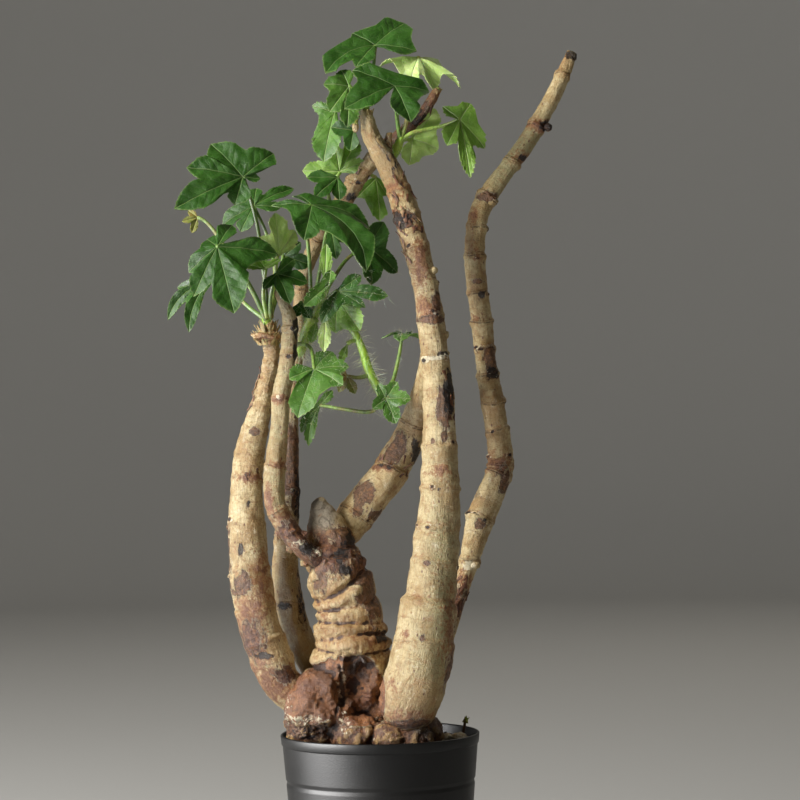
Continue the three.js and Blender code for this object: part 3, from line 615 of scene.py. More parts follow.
@dataclass
class Spine:
    """A smooth route resampled in even steps, with the frame that a round section needs."""

    centre: Array
    radius: Array
    travel: Array
    ahead: Array
    across: Array
    other: Array

    @classmethod
    def along(cls, route: Rows, step: float, soften: float = 5) -> "Spine":
        """Draws a smooth curve through a route.

        Args:
            route: rows of x, y, z and radius.
            step: the distance between samples.
            soften: the length over which the radius is evened out.

        Returns:
            The resampled route.
        """
        points = np.array([row[:3] for row in route], float)
        padded = np.vstack([2 * points[0] - points[1], points, 2 * points[-1] - points[-2]])
        dense, place = [], []
        for i in range(len(points) - 1):
            p0, p1, p2, p3 = padded[i:i + 4]
            d0, d1, d2 = (max(np.linalg.norm(b - a), 1e-4) ** 0.5 for a, b in ((p0, p1), (p1, p2), (p2, p3)))
            t1 = ((p1 - p0) / d0 - (p2 - p0) / (d0 + d1) + (p2 - p1) / d1) * d1
            t2 = ((p2 - p1) / d1 - (p3 - p1) / (d1 + d2) + (p3 - p2) / d2) * d1
            for t in np.linspace(0, 1, 24, endpoint=False):
                h = (2 * t**3 - 3 * t**2 + 1, t**3 - 2 * t**2 + t, 3 * t**2 - 2 * t**3, t**3 - t**2)
                dense.append(h[0] * p1 + h[1] * t1 + h[2] * p2 + h[3] * t2)
                place.append(i + t)
        dense = np.array([*dense, points[-1]])
        place.append(len(points) - 1)
        run = np.concatenate([[0], np.cumsum(np.linalg.norm(np.diff(dense, axis=0), axis=1))])
        travel = np.linspace(0, run[-1], max(3, round(run[-1] / step) + 1))
        centre = np.column_stack([np.interp(travel, run, dense[:, k]) for k in range(3)])
        radius = np.interp(np.interp(travel, run, place), range(len(route)), [row[3] for row in route])
        width = max(1, round(soften / (travel[1] - travel[0])))
        window = np.ones(2 * width + 1) / (2 * width + 1)
        radius = np.convolve(np.pad(radius, width, mode="edge"), window, mode="valid")
        ahead = np.gradient(centre, axis=0)
        ahead /= np.linalg.norm(ahead, axis=1)[:, None]
        across = np.empty_like(ahead)
        side = np.array([0.3, 1.0, 0.2])
        for i, forward in enumerate(ahead):
            side = side - forward * side.dot(forward)
            side /= np.linalg.norm(side)
            across[i] = side
        return cls(centre, radius, travel, ahead, across, np.cross(ahead, across))

    def first_at(self, height: float) -> float:
        """Gives the travel at which the route first reaches a height, or its whole length.

        Args:
            height: the height.

        Returns:
            The travel.
        """
        offsets = self.centre[:, 2] - height
        crossed = np.nonzero(offsets[:-1] * offsets[1:] <= 0)[0]
        return float(self.travel[crossed[0]]) if len(crossed) else float(self.travel[-1])

    def skin(self, radii: Array, lean: Array | float = 0, dome: float = 0.4) -> Array:
        """Places corners round the route and domes both ends.

        Args:
            radii: rows x around radii.
            lean: how far each corner is moved along the route.
            dome: the height of the end domes, as a share of the radius.

        Returns:
            Rows x (around + 1) x 3 corners, with a pole at each end.
        """
        angle = np.linspace(0, 2 * np.pi, radii.shape[1], endpoint=False)[None, :, None]
        reach = np.cos(angle) * self.across[:, None] + np.sin(angle) * self.other[:, None]
        lean = np.broadcast_to(lean, radii.shape)
        rows = self.centre[:, None] + reach * radii[..., None] + self.ahead[:, None] * lean[..., None]
        caps = []
        for end, way in ((0, -1.0), (-1, 1.0)):
            centre = self.centre[end]
            rise = self.ahead[end] * way * dome * radii[end].mean()
            caps.append(np.array([centre + (rows[end] - centre) * math.cos(a) + rise * math.sin(a)
                                  for a in (0.5, 1.0, math.pi / 2)]))
        rows = np.concatenate([caps[0][::-1], rows, caps[1]])
        return np.concatenate([rows, rows[:, :1]], axis=1)


@dataclass
class Stem:
    """A woody stem: its route, its leaf-scar rings and how uneven it is."""

    name: str
    route: Rows
    rings: Sequence[float] = ()
    ring_rise: float = 0.6
    tilt: float = 0.6
    lumps: float = 0.045
    wrinkle: float = 0.16
    around: int = 56
    step: float = 0.8
    scarred: float = 0.0
    swells: Sequence[Span] = ()
    spine: Spine = field(init=False)
    scars: list[Point] = field(init=False)

    def __post_init__(self) -> None:
        """Resamples the route and draws where the leaf scars stand on the rings."""
        self.spine = Spine.along(self.route, self.step)
        rng = np.random.default_rng(len(self.name) + len(self.route))
        self.scars = []
        for height in self.rings:
            for _ in range(rng.poisson(self.scarred)):
                at = self.spine.first_at(height) + rng.uniform(-1.5, 2.5)
                self.scars.append((at, rng.uniform(-math.pi, math.pi), rng.uniform(1.0, 1.9)))

    def build(self, seed: int) -> Piece:
        """Makes the stem's closed mesh.

        Args:
            seed: the seed of its wrinkles.

        Returns:
            The mesh, to be joined with the others.
        """
        spine = self.spine
        angle = np.linspace(0, 2 * np.pi, self.around, endpoint=False)[None]
        travel, radius = spine.travel[:, None], spine.radius[:, None]
        radii = radius * (1 + self.lumps * np.sin(3 * angle + 0.11 * travel) * np.cos(0.07 * travel + angle))
        rng = np.random.default_rng(seed)
        for height in self.rings:
            facing = rng.uniform(0, 2 * np.pi)
            away = travel - spine.first_at(height) - 0.7 * np.sin(angle + facing)
            ridge = np.exp(-(away / 1.9) ** 2) - 0.55 * np.exp(-((away - 2.3) / 0.9) ** 2)
            radii = radii + self.ring_rise * (0.72 + 0.28 * np.cos(angle - facing)) * ridge
        for height, rise in self.swells:
            away = travel - spine.first_at(height) - 1.5 * np.sin(angle)
            radii = radii + rise * (np.exp(-((away + 5) / 5) ** 2) - 0.6 * np.exp(-((away - 1.0) / 2.8) ** 2))
        for at, facing, size in self.scars:
            turn = np.abs(np.angle(np.exp(1j * (angle - facing)))) * radius
            rise = np.exp(-(turn / (1.5 * size)) ** 2 - ((travel - at) / size) ** 2)
            radii = radii + 1.1 * rise - 0.7 * rise**6
        radii = radii + self.folds(travel, angle, rng)
        return Mesh.rolled(self.name, spine.skin(radii, self.tilt * np.sin(angle + 0.13 * travel)))

    def folds(self, travel: Array, angle: Array, rng: Dice) -> Array:
        """Draws the slight cross wrinkles between the rings.

        Args:
            travel: how far along the stem each row lies.
            angle: where round the stem each column lies.
            rng: draws their places.

        Returns:
            What they add to the radii.
        """
        total = np.zeros(np.broadcast(travel, angle).shape)
        for _ in range(max(2, int(travel[-1, 0] / 6))):
            at, facing = rng.uniform(0, travel[-1, 0]), rng.uniform(0, 2 * np.pi)
            width, size = rng.uniform(0.6, 1.3), rng.uniform(0.4, 1.0)
            away = (travel - at - 1.2 * np.sin(angle - facing)) / width
            total -= self.wrinkle * size * np.clip(np.cos(angle - facing) + 0.3, 0, 1) * np.exp(-away**2)
        return total


@dataclass
class FoldedStem(Stem):
    """The ringed stump: fat folds with deep creases between them."""

    crease: float = 2.3

    def folds(self, travel: Array, angle: Array, rng: Dice) -> Array:
        """Draws the deep creases at the rings and the bulge between them.

        Args:
            travel: how far along the stem each row lies.
            angle: where round the stem each column lies.
            rng: draws how they bend.

        Returns:
            What they add to the radii.
        """
        total = super().folds(travel, angle, rng) * 2
        for height in self.rings:
            facing = rng.uniform(0, 2 * np.pi)
            bend, width = rng.uniform(0.8, 2.2), rng.uniform(0.9, 1.4)
            away = travel - self.spine.first_at(height) - bend * np.sin(angle + facing)
            away = away - 0.8 * np.sin(2 * angle + 2 * facing)
            share = 0.78 + 0.22 * np.cos(angle - 1.7 * facing)
            total -= self.crease * share * (np.exp(-(away / width) ** 2) + 0.4 * np.exp(-(away / 3.4) ** 2))
            total += 0.9 * share * np.exp(-((away + 3.4) / 2.2) ** 2)
        return total


WOODY_STEMS = (
    Stem("left", (
        (-34, -2, 117, 10), (-44, -4, 121, 10.5), (-52, -6, 129, 10.5), (-57, -8, 143, 11.2),
        (-62, -8, 156, 11), (-65, -8, 172, 10.8), (-67, -7, 187, 10.5), (-68, -6, 203, 10),
        (-68.5, -5, 219, 8.9), (-68, -4, 235, 8.2), (-66, -3, 250, 7.8), (-62, -3, 266, 6.6),
        (-59, -3, 277, 5.6), (-55.5, -3, 291, 4.7), (-54, -4, 302, 4), (-54.5, -5, 308, 5),
        (-55, -5, 314, 4.2), (-55.5, -5, 316, 2.6),
    ), rings=(150, 168, 188, 212, 235, 247, 262, 274, 286, 296, 303), tilt=0.7, scarred=0.7, around=64,
       swells=((144, 0.7), (186, 0.5))),
    Stem("elbow", (
        (-22, -8, 188, 4.6), (-34, -15, 195, 5.5), (-41, -18, 202, 5.7), (-48, -19, 212, 5.7),
        (-52.5, -19, 222, 5.7), (-53, -18, 234, 5.8), (-51.5, -17, 249, 5.1), (-49.5, -16, 266, 4.5),
        (-49, -15.5, 277, 4.6), (-46, -15, 292, 4.3), (-44, -14, 308, 4.2), (-43.5, -13, 317, 4.1),
        (-45, -12.5, 323, 3.4), (-48, -12, 328, 2.4), (-51, -12, 333, 1.2),
    ), rings=(219, 242, 277, 300, 314), tilt=0.5, lumps=0.06, wrinkle=0.24, scarred=0.8),
    Stem("crossing", (
        (-28, 6, 122, 8), (-38, 10, 141, 7.7), (-44, 14, 154, 7.7), (-47.5, 17, 170, 7.5),
        (-49.5, 20, 185, 7), (-49, 22, 198.5, 6.4), (-47.5, 25, 224.5, 5.8), (-46.5, 26, 260, 5),
        (-45.5, 26, 276, 4.5), (-43.5, 26, 292, 4), (-40.5, 26, 305.5, 3.9), (-39.5, 26, 330.5, 3.5),
        (-36.5, 26, 345.5, 3.6), (-30.5, 25, 359.5, 4), (-22.5, 23, 372.5, 4.5), (-14.5, 21, 383.5, 4.8),
        (-8, 19, 393.5, 4.7), (-1, 18, 402, 4.6), (6, 16, 409.5, 4.2), (14, 14, 415, 3.6),
        (22, 13, 421.5, 2.7), (28.5, 12, 429, 2.6), (32.5, 11, 434.5, 2.8), (36, 10, 440.5, 2.2),
    ), rings=(167, 201, 228, 256, 302, 336, 362, 378, 392, 405, 417), tilt=0.5, scarred=1.0),
    FoldedStem("stump", (
        (-12, 0, 112, 12), (-12.5, -1, 122, 17.5), (-14, -3, 136, 21.5), (-14, -5, 149.5, 20.7),
        (-14.5, -5, 159, 18.8), (-16.5, -5, 169.5, 17.2), (-20, -5, 181, 16.4), (-23, -5, 192, 15.2),
        (-24, -5, 201, 13.2), (-26.5, -5, 210, 9.8), (-29.5, -5, 217.5, 6), (-31.3, -5, 221.5, 3.6),
    ), rings=(144.5, 152, 160, 169, 179, 190, 200), ring_rise=0.2, tilt=2.2, lumps=0.06, around=90),
    Stem("slanting", (
        (-21, 4, 203, 6), (-17, 6, 206, 8.6), (-13, 8, 212, 9.6), (-7, 9, 219.5, 10.3),
        (-1, 10, 227, 10.1), (6, 11, 235, 9.8), (11, 12, 243.5, 9.5), (16.5, 12, 252.5, 9.2),
        (21.5, 11, 262, 8.7), (25.5, 8, 272.5, 8.2), (28.5, 4, 283, 7.6), (30.5, -1, 293, 6.8),
        (31, -6, 300, 6),
    ), rings=(215, 239, 262), tilt=1.0, lumps=0.05, scarred=0.6),
    Stem("main", (
        (13, -19, 105.5, 7), (13.2, -19.5, 108, 12.4), (14.2, -21, 113.5, 15.2), (16, -23, 120, 16),
        (20.5, -25, 134, 16.8), (23.5, -25, 146.5, 16.1), (25, -24, 161, 15), (27.5, -23, 173, 13),
        (30, -22, 192, 12), (32.5, -21, 212.5, 10.8), (33.5, -20, 233, 9.7), (33.5, -19, 254, 9),
        (33.5, -18, 275, 8.3), (32, -17, 296, 7.4), (30, -16, 317, 7.2), (28, -14, 332.5, 6.6),
        (24.5, -12, 348.5, 6.4), (20.5, -10, 364.5, 7), (17.5, -9, 376, 7), (14, -8, 386.5, 6),
        (9.5, -8, 397, 6), (5, -9, 405.5, 5.5), (0.5, -10, 413.5, 4.7), (-1.5, -11, 422, 4.2),
        (-2.5, -11, 426.5, 3),
    ), rings=(150, 170, 191, 210, 229, 252, 276, 297, 319, 337, 355, 372, 386), tilt=0.8, around=80,
       wrinkle=0.26, scarred=1.0, swells=((172, 1.3), (206, 0.9), (132, 0.8), (240, 0.6))),
    Stem("right", (
        (8, 3, 112, 9), (25, 6, 130, 8), (35, 9, 152, 6.1), (43, 11, 173, 5), (47.5, 12, 185, 4.8),
        (50, 13, 193.5, 5.7), (55, 15, 210.5, 7.2), (61.5, 17, 225.5, 7.4), (66, 18, 236.5, 6.7),
        (66.5, 19, 248, 6.4), (64.5, 19, 261, 6.4), (62.5, 19, 275, 6.3), (60, 19, 291, 5.7),
        (58.5, 19, 307, 5.7), (57, 19, 322.5, 5.7), (55, 19, 339, 5.6), (54.5, 19, 355, 5.3),
        (55.5, 19, 365.5, 5.5), (57.5, 20, 375.5, 5.3), (63, 21, 385.5, 5.1), (74, 23, 400, 4.8),
        (84, 26, 413.5, 4.8), (91, 28, 425, 4.9), (97.5, 30, 436, 4.4), (102.5, 32, 446.5, 4.2),
        (107.5, 34, 457.5, 3.5), (108.5, 35, 461, 2.2),
    ), rings=(190, 212, 235, 239, 243, 258, 273, 288, 302, 317, 332, 352, 368, 383, 402, 421, 449),
       tilt=0.6, lumps=0.05, ring_rise=0.9, scarred=1.9),
    Stem("stub", ((8, -7, 398, 3), (9, -8, 408, 2.6), (9.5, -8, 414, 2), (9.8, -8, 415.5, 1)), around=32),
    Stem("broken_root", ((-28, -3, 112, 8), (-36, -12, 107.5, 6.2), (-41.5, -19, 105, 5.6)), lumps=0.06),
)


@dataclass(frozen=True)
class Lump:
    """A rounded mass or knob of the wood."""

    centre: Point
    halves: Point
    uneven: float = 0.07
    segments: int = 40
    square: float = 1.0
    taper: float = 0.0
    shift: float = 0.0

    def build(self, name: str) -> Piece:
        """Makes the lump's closed mesh.

        Args:
            name: the mesh's name.

        Returns:
            The mesh.
        """
        Mesh.clear_selection()
        bpy.ops.mesh.primitive_uv_sphere_add(segments=self.segments, ring_count=self.segments // 2, radius=1)
        piece = Mesh.named(name)
        ball = Mesh.places(piece)
        x, y, z = self.centre
        ball = np.sign(ball) * np.abs(ball) ** self.square
        ball[:, 0] = ball[:, 0] * (1 - self.taper * ball[:, 2]) + self.shift * ball[:, 2]
        across, depth, up = ball.T
        ripple = np.sin(5.1 * across + 1.3 * x) * np.cos(4.3 * depth - 0.7 * z) * np.sin(4.7 * up + y)
        Mesh.set_places(piece, (self.centre + ball * self.halves * (1 + self.uneven * ripple[:, None])) * MM)
        return piece

    def stem(self) -> int:
        """Finds the stem that the lump stands on.

        Returns:
            The stem's number.
        """
        outside = [np.min(np.linalg.norm(stem.spine.centre - self.centre, axis=1) - stem.spine.radius)
                   for stem in WOODY_STEMS]
        return int(np.argmin(outside))

    def reach(self, places: Array) -> Array:
        """Gives how far from the middle each place is, as a share of the half sizes."""
        return np.linalg.norm((places - self.centre) / self.halves, axis=1)


CAUDEX = (
    Lump((-31.5, -11, 118.5), (16.5, 15, 18), 0.12, 64, 0.73, 0.14, 0.16),
    Lump((-8, 4, 112), (27, 18, 22), segments=56),
    Lump((-33, -5, 101), (16, 14, 9)),
    Lump((-11, -19, 101), (12, 12, 10.5), 0.14), Lump((-21, -13, 112), (9, 10, 13), 0.14),
    Lump((6, -22, 100), (13, 12, 9)),
    Lump((22, -13, 101.5), (11, 13, 9.5)), Lump((17, -21, 99), (11, 11, 9), 0.14),
)
HOLLOW = Lump((-9.5, -27.5, 122.5), (13, 12, 20.5), 0.22, 48, 0.9)
KNOBS = (
    Lump((-77.5, -6, 210), (1.8, 1.6, 1.6)), Lump((-77, -7, 184), (1.6, 1.6, 1.4)),
    Lump((-61.5, -9, 211), (1.6, 1.5, 1.8)), Lump((32, -15, 343), (2.2, 2.4, 2)),
    Lump((37.5, -17, 309), (2, 2.4, 2.4)), Lump((37.8, -17, 299.5), (1.8, 2.2, 1.6)),
    Lump((-7.8, -11, 419), (1.8, 1.8, 3)), Lump((64.5, 17, 381), (3, 3, 2.8)),
    Lump((95, 24.5, 420.5), (2.2, 2.6, 2.2)), Lump((60.5, 16, 290), (3, 2.6, 5.5)),
    Lump((52, 8.5, 187), (2.6, 2.4, 2.2)), Lump((109, 34.5, 459.5), (3.2, 3, 2.6)),
    Lump((-40.5, 23.5, 301.5), (3.2, 3.4, 2.6)), Lump((-56, -6, 310), (8, 6.5, 3), 0.2),
    Lump((-45, -22.8, 207.5), (3.2, 2.8, 2.6), 0.25), Lump((-38.5, -21.8, 201), (3.4, 2.8, 2.6), 0.25),
    Lump((-31.5, -17.5, 196.5), (3.6, 3, 3), 0.25), Lump((-50.5, -21.5, 216.5), (2.6, 2.6, 2), 0.25),
    Lump((-44.5, -18.5, 199), (3, 3, 2.4), 0.25), Lump((-37, -14.5, 191.5), (3.2, 3, 2.6), 0.25),
    Lump((-37.5, -19.5, 206), (2.4, 2.6, 2.2), 0.25), Lump((-51, -19, 207), (2.2, 2.4, 3), 0.25),
)


class Mark(Enum):
    """What a patch of the bark carries: the name of the mesh value that it raises."""

    STAIN = "stain"
    DARK = "dark"
    RUDDY = "ruddy"
    OLIVE = "olive"
    TAN = "tan"
    PALE = "pale"
    GREY = "grey"
    RINGED = "ringed"
    FACE = "face"
    ROOT = "root"


# The patches seen in front, by stem and mark: rows of x, z, half width, half height and strength
PATCHES: dict[str, dict[Mark, Rows]] = {
    "left": {
        Mark.RUDDY: ((-75, 286, 5, 18, 1.2), (-66, 236, 9, 3, 1.1), (-67, 158, 9, 26, 1.1),
            (-52, 128, 14, 12, 1.1), (-60, 186, 5, 16, 0.6), (-58, 309, 9, 5, 0.8)),
        Mark.STAIN: ((-63, 260, 5, 2.5, 0.9), (-78, 200, 1.5, 22, 0.8), (-71, 180, 6, 8, 0.95),
            (-66, 152, 8, 11, 0.95), (-50, 133, 9, 5, 0.8)),
        Mark.DARK: ((-71, 199, 1.6, 3.5, 1), (-60, 143, 5, 2, 1.0), (-67, 222, 1.4, 2.5, 0.8)),
    },
    "elbow": {
        Mark.RUDDY: ((-49.5, 277, 5, 3, 1.3), (-50.5, 243, 6, 3, 1.2), (-44, 208, 14, 14, 1.2),
            (-30, 195, 10, 10, 1.2), (-56, 226, 3, 8, 1)),
        Mark.DARK: ((-40.5, 315, 2.2, 5, 1), (-41, 300, 1.6, 10, 0.8), (-36, 199, 6, 5, 0.9)),
        Mark.STAIN: ((-40, 207, 15, 11, 0.85), (-28, 193, 7, 8, 0.9), (-49, 322, 4, 5, 0.6)),
        Mark.PALE: ((-41, 202, 5, 3, 0.6), (-31, 197, 3, 3, 0.7), (-50, 278, 2, 1.6, 0.8)),
    },
    "crossing": {
        Mark.DARK: ((-50, 167, 4, 2, 1.1), (-41, 225, 4, 22, 0.8), (-40, 175, 4, 22, 0.7),
            (26, 424, 9, 6, 0.8), (-12, 384, 4, 3, 0.8)),
        Mark.STAIN: ((-45, 240, 7, 30, 1.1), (8, 411, 11, 8, 1), (25, 424, 11, 12, 1.0)),
        Mark.RUDDY: ((30, 432, 10, 12, 1.2),),
    },
    "main": {
        Mark.STAIN: ((15, 371, 10, 4, 1.0), (8, 410, 7, 12, 0.45), (33, 326, 3, 7, 0.9),
            (30, 317, 8, 2.4, 1.1), (36.5, 272, 5, 14, 1.1), (30, 254, 1.4, 2, 1), (36, 256, 1.6, 2, 1),
            (23, 153, 2.6, 2.4, 1), (38, 134, 5, 16, 0.8), (26, 191, 2, 1.6, 0.9), (16, 108, 18, 3, 0.9)),
        Mark.DARK: ((14, 369, 9, 5, 1.1), (12, 402, 6, 16, 0.45), (36, 299, 3, 1.6, 1),
            (39, 278, 3.5, 13, 1.1), (33, 229, 1.6, 1.3, 0.9)),
        Mark.RUDDY: ((25, 348, 5, 16, 1.1), (12, 386, 9, 8, 0.8), (28, 322, 9, 8, 0.9),
            (14, 155, 3, 3, 0.8), (8, 128, 4, 5, 0.9), (38, 150, 5, 30, 0.9), (16, 110, 18, 7, 0.9),
            (33, 238, 8, 5, 0.8)),
        Mark.PALE: ((33, 297, 9, 1.6, 0.9),),
        # the tan and olive patches at x 8, z 398 are partly the stem's own olive-brown and partly painted
        # shade of the leaves above
        Mark.TAN: ((8, 398, 16, 24, 1.0), (24, 120, 22, 12, 0.9)),
        Mark.OLIVE: ((34, 170, 7, 60, 0.9), (22, 130, 8, 20, 0.5), (8, 398, 16, 24, 1.1)),
    },
    "slanting": {
        Mark.STAIN: ((13, 253, 4, 8, 1.2), (8, 246, 4, 6, 1.0), (-6, 227, 5, 6, 1.2),
            (-10, 219, 3, 6, 1.0), (2, 214, 9, 5, 0.8)),
        Mark.DARK: ((21, 247, 3, 9, 0.9), (3, 241, 3, 1.2, 0.8)),
        Mark.RUDDY: ((2, 240, 7, 2.4, 1),),
    },
    "stump": {
        Mark.STAIN: ((-14, 204, 6, 7, 1.1), (-30, 193, 5, 10, 0.9), (0, 168, 6, 12, 0.8),
            (-22, 194, 8, 9, 0.85), (-24, 206, 9, 3, 0.7), (-10, 184, 7, 5, 0.8), (-30, 178, 5, 5, 0.7),
            (-27, 212, 4, 3, 0.8), (-8, 172, 5, 4, 0.8), (-6, 190, 6, 12, 0.9)),
        Mark.DARK: ((-13, 203, 3.6, 6, 1.0), (-16, 187, 4, 2.6, 0.9), (-22, 137, 4, 6, 0.9),
            (2, 152, 6, 5, 0.8), (-31.3, 221, 3.4, 2.6, 1.4), (-19, 195, 4, 7, 0.85)),
        Mark.RUDDY: ((-22, 195, 10, 9, 1.2), (-28, 168, 9, 20, 0.45), (-4, 150, 13, 14, 0.65),
            (-30, 209, 4, 6, 1.2), (-8, 192, 9, 8, 1.1), (-34, 211, 3, 6, 1.3)),
        Mark.GREY: ((-30, 216, 10, 9, 1.0),),
        Mark.PALE: ((-19, 126, 3, 14, 0.7), (-22, 108, 16, 5, 0.4)),
        Mark.TAN: ((-14, 150, 26, 14, 0.4),),
    },
    "broken_root": {
        Mark.PALE: ((-37, 110.5, 10, 2.4, 0.75), (-48, 118, 2.6, 12, 0.42)),
        Mark.DARK: ((-36, 103, 9, 4.5, 1.2),),
    },
    "right": {
        Mark.DARK: ((63, 289, 3, 4, 1.2), (58, 331, 2.6, 2.2, 1), (109, 460, 5, 3, 1.1),
            (95, 421, 5, 3.4, 1.2), (81, 404, 2.6, 2, 1.1)),
        Mark.STAIN: ((62, 297, 4, 8, 1.1), (41, 166, 9, 16, 0.8), (68, 232, 4, 9, 0.8),
            (55, 209, 5, 4, 0.8), (56, 338, 6, 1.6, 0.8), (61, 383, 7, 3, 1.0), (52, 226, 4, 6, 0.6)),
        Mark.RUDDY: ((44, 170, 10, 18, 0.9), (65, 240, 9, 6, 1.1), (54, 352, 5, 8, 0.4),
            (92, 421, 11, 4, 1.2), (54, 372, 3, 9, 0.8), (81, 404, 5, 4, 1.1), (56, 319, 8, 3, 0.7)),
        Mark.PALE: ((49, 187, 4, 3, 1),),
        Mark.OLIVE: ((80, 405, 30, 30, 1.2),),
    },
}


@dataclass
class Wood:
    """The caudex with its stump, and the stems that rise from it."""

    voxel: float = 0.85
    apart: float = 60
    core: Sequence[str] = ("stump", "broken_root")
    hollowed: int = 2
    finish: BarkFinish = BarkFinish()
    shares: dict[Mark, dict[str, float]] = field(default_factory=lambda: {
        Mark.OLIVE: {"elbow": 0.75, "crossing": 0.6, "left": 0.1, "right": 0.2, "main": 0.25,
                     "slanting": 0.15},
        Mark.TAN: {"right": 0.25, "crossing": 0.7, "left": 0.25, "stump": 0.35, "slanting": 0.3, "main": 0.25,
                   "elbow": 0.3},
        Mark.RINGED: {"main": 0.2, "left": 0.2, "elbow": 0.4, "crossing": 0.6, "slanting": 0.8,
                      "right": 0.7}})
    face: Sequence[Span] = (
        (-54, 122), (-47, 131), (-39, 135), (-30, 139), (-22, 142), (-13, 143), (-5, 140), (1, 133), (4, 124),
        (7, 110))
    crack: Sequence[Span] = ((104, -27), (122, -18), (134, -20), (142, -22))

    def build(self) -> None:
        """Makes the caudex as one closed skin, and each stem with its knobs."""
        numbers = {stem.name: number for number, stem in enumerate(WOODY_STEMS)}
        numbers["stub"] = numbers["main"]
        pieces = [self.caudex()]
        self.shape(pieces[0], [numbers[name] for name in self.core])
        for number, stem in enumerate(WOODY_STEMS):
            if stem.name in (*self.core, "stub"):
                continue
            parts = [other.build(seed) for seed, other in enumerate(WOODY_STEMS)
                     if numbers[other.name] == number]
            parts += [lump.build("knob") for lump in KNOBS if lump.stem() == number]
            pieces.append(Mesh.join(f"stem_{stem.name}", parts))
            self.shape(pieces[-1], [number])
        material = self.finish.material()
        for piece in pieces:
            seat(piece, "bark", "caudex_and_stems", coat=material)

    def caudex(self) -> Piece:
        """Makes the masses, the stump and the broken root one skin, with the arched hollow cut out.

        Returns:
            The skin.
        """
        parts = [stem.build(seed) for seed, stem in enumerate(WOODY_STEMS) if stem.name in self.core]
        parts += [lump.build("mass") for lump in CAUDEX]
        for part in (parts[0], *parts[len(self.core):][:self.hollowed]):
            Mesh.cut(part, HOLLOW.build("hollow"))
        Mesh.clear_selection()
        bpy.ops.mesh.primitive_cylinder_add(vertices=64, radius=1, depth=2)
        foot = Mesh.named("foot")
        Mesh.set_places(foot, (Mesh.places(foot) * (27, 15, 11) + (-8, -6, 89)) * MM)
        piece = Mesh.join("caudex", [*parts, foot])
        Mesh.modify(piece, "REMESH", mode="VOXEL", voxel_size=self.voxel * MM)
        self.keep_largest(piece)
        return piece

    def keep_largest(self, piece: Piece) -> None:
        """Drops any scrap that isn't joined to the main body.

        Args:
            piece: the piece.
        """
        a, b = Mesh.read(piece.data.edges, "vertices", 2, int).T
        label = np.arange(len(piece.data.vertices))
        before = label[:0]
        while not np.array_equal(label, before):
            before = label.copy()
            low = np.minimum(label[a], label[b])
            np.minimum.at(label, a, low)
            np.minimum.at(label, b, low)
            label = label[label]
        loose = label != np.bincount(label).argmax()
        if loose.any():
            piece.data.vertices.foreach_set("select", loose)
            Mesh.pick(piece)
            bpy.ops.object.mode_set(mode="EDIT")
            bpy.ops.mesh.delete(type="VERT")
            bpy.ops.object.mode_set(mode="OBJECT")

    def nearest(self, places: Array, numbers: Sequence[int]) -> tuple[Array, Array, Array]:
        """Finds which stem each place lies on.

        Args:
            places: places in millimetres.
            numbers: the stems to choose from.

        Returns:
            The stem's number, the number of its sample, and how far outside the stem the place is.
        """
        best = np.full(len(places), 1e9)
        stem_of = np.full(len(places), numbers[0])
        sample_of = np.zeros(len(places), int)
        for number in numbers:
            centre, radius = WOODY_STEMS[number].spine.centre, WOODY_STEMS[number].spine.radius
            for chunk in np.array_split(np.arange(len(places)), max(1, len(places) // 4000)):
                away = np.linalg.norm(places[chunk, None] - centre[None], axis=2)
                sample = away.argmin(1)
                outside = away[np.arange(len(chunk)), sample] - radius[sample]
                closer = outside < best[chunk]
                kept = chunk[closer]
                best[kept], stem_of[kept], sample_of[kept] = outside[closer], number, sample[closer]
        return stem_of, sample_of, best

    def shape(self, piece: Piece, numbers: Sequence[int]) -> None:
        """Roughens the skin and stores what the bark material reads.

        Args:
            piece: the piece, whose vertices are moved.
            numbers: the stems that it holds.
        """
        core = len(numbers) > 1
        places, normals = Mesh.places(piece) / MM, Mesh.normals(piece)
        x, y, z = places.T
        stem_of, sample_of, outside = self.nearest(places, numbers)
        grain, ring, turn = self.unbent(places, stem_of, sample_of)
        rough, clods = self.roughness(places, grain), self.clods(places)
        lumps = np.min([(lump.reach(places) - 1) * min(lump.halves) for lump in CAUDEX], axis=0)
        base = np.clip((outside - lumps) / 4, 0, 1) * (z < 150) * core
        base = np.maximum(base, stem_of == self.number("broken_root"))
        stump = (stem_of == self.number("stump")) * (1 - base)
        inside = np.clip(1.12 - HOLLOW.reach(places), 0, 0.12) / 0.12
        above = z - np.interp(x, *np.array(self.face).T) - 1.5 * rough
        own = np.clip(base + stump, 0, 1) * (x > -54) * (x < 8) * (y < -3)
        face = own * np.clip(0.5 - above / 1.6, 0, 1) * np.clip((z - 106 - 3 * rough) / 5, 0, 1)
        face = np.maximum(face, inside)
        lip = np.exp(-((above - 1.6) / 1.7) ** 2) - 0.6 * np.exp(-((above + 1.6) / 1.6) ** 2)
        lip *= own * (1 - inside)
        roots = base * (1 - face)
        crack = own * np.exp(-((x - np.interp(z, *np.array(self.crack).T) - 2 * rough) / 1.5) ** 2)
        crack *= np.clip((z - 108) / 6, 0, 1) * np.clip((141 - z) / 4, 0, 1)
        rough = rough * (0.3 + 0.2 * stump) * (1 - np.maximum(roots, face))
        rough += clods * (1.5 * roots + 1.3 * face + 0.4 * inside + 0.3 * stump)
        end = (x < -27) * (y < -14) * np.exp(-((z - 105) / 4.5) ** 2)
        slits = end * np.clip(np.sin(2 * np.pi * x / 3.6 + 9 * clods) * 1.4 - 0.5, 0, 1) * core
        rise = rough + 1.1 * lip - 1.7 * crack - 1.3 * slits
        Mesh.set_places(piece, (places + normals * rise[:, None]) * MM)
        values = self.marks(places, normals, stem_of, grain, turn)
        low = np.clip((109 - z) / 5, 0, 1) * core
        values[Mark.RINGED] *= 1 - base
        values[Mark.FACE] = face * (1 - low)
        values[Mark.ROOT] = np.maximum(roots, low)
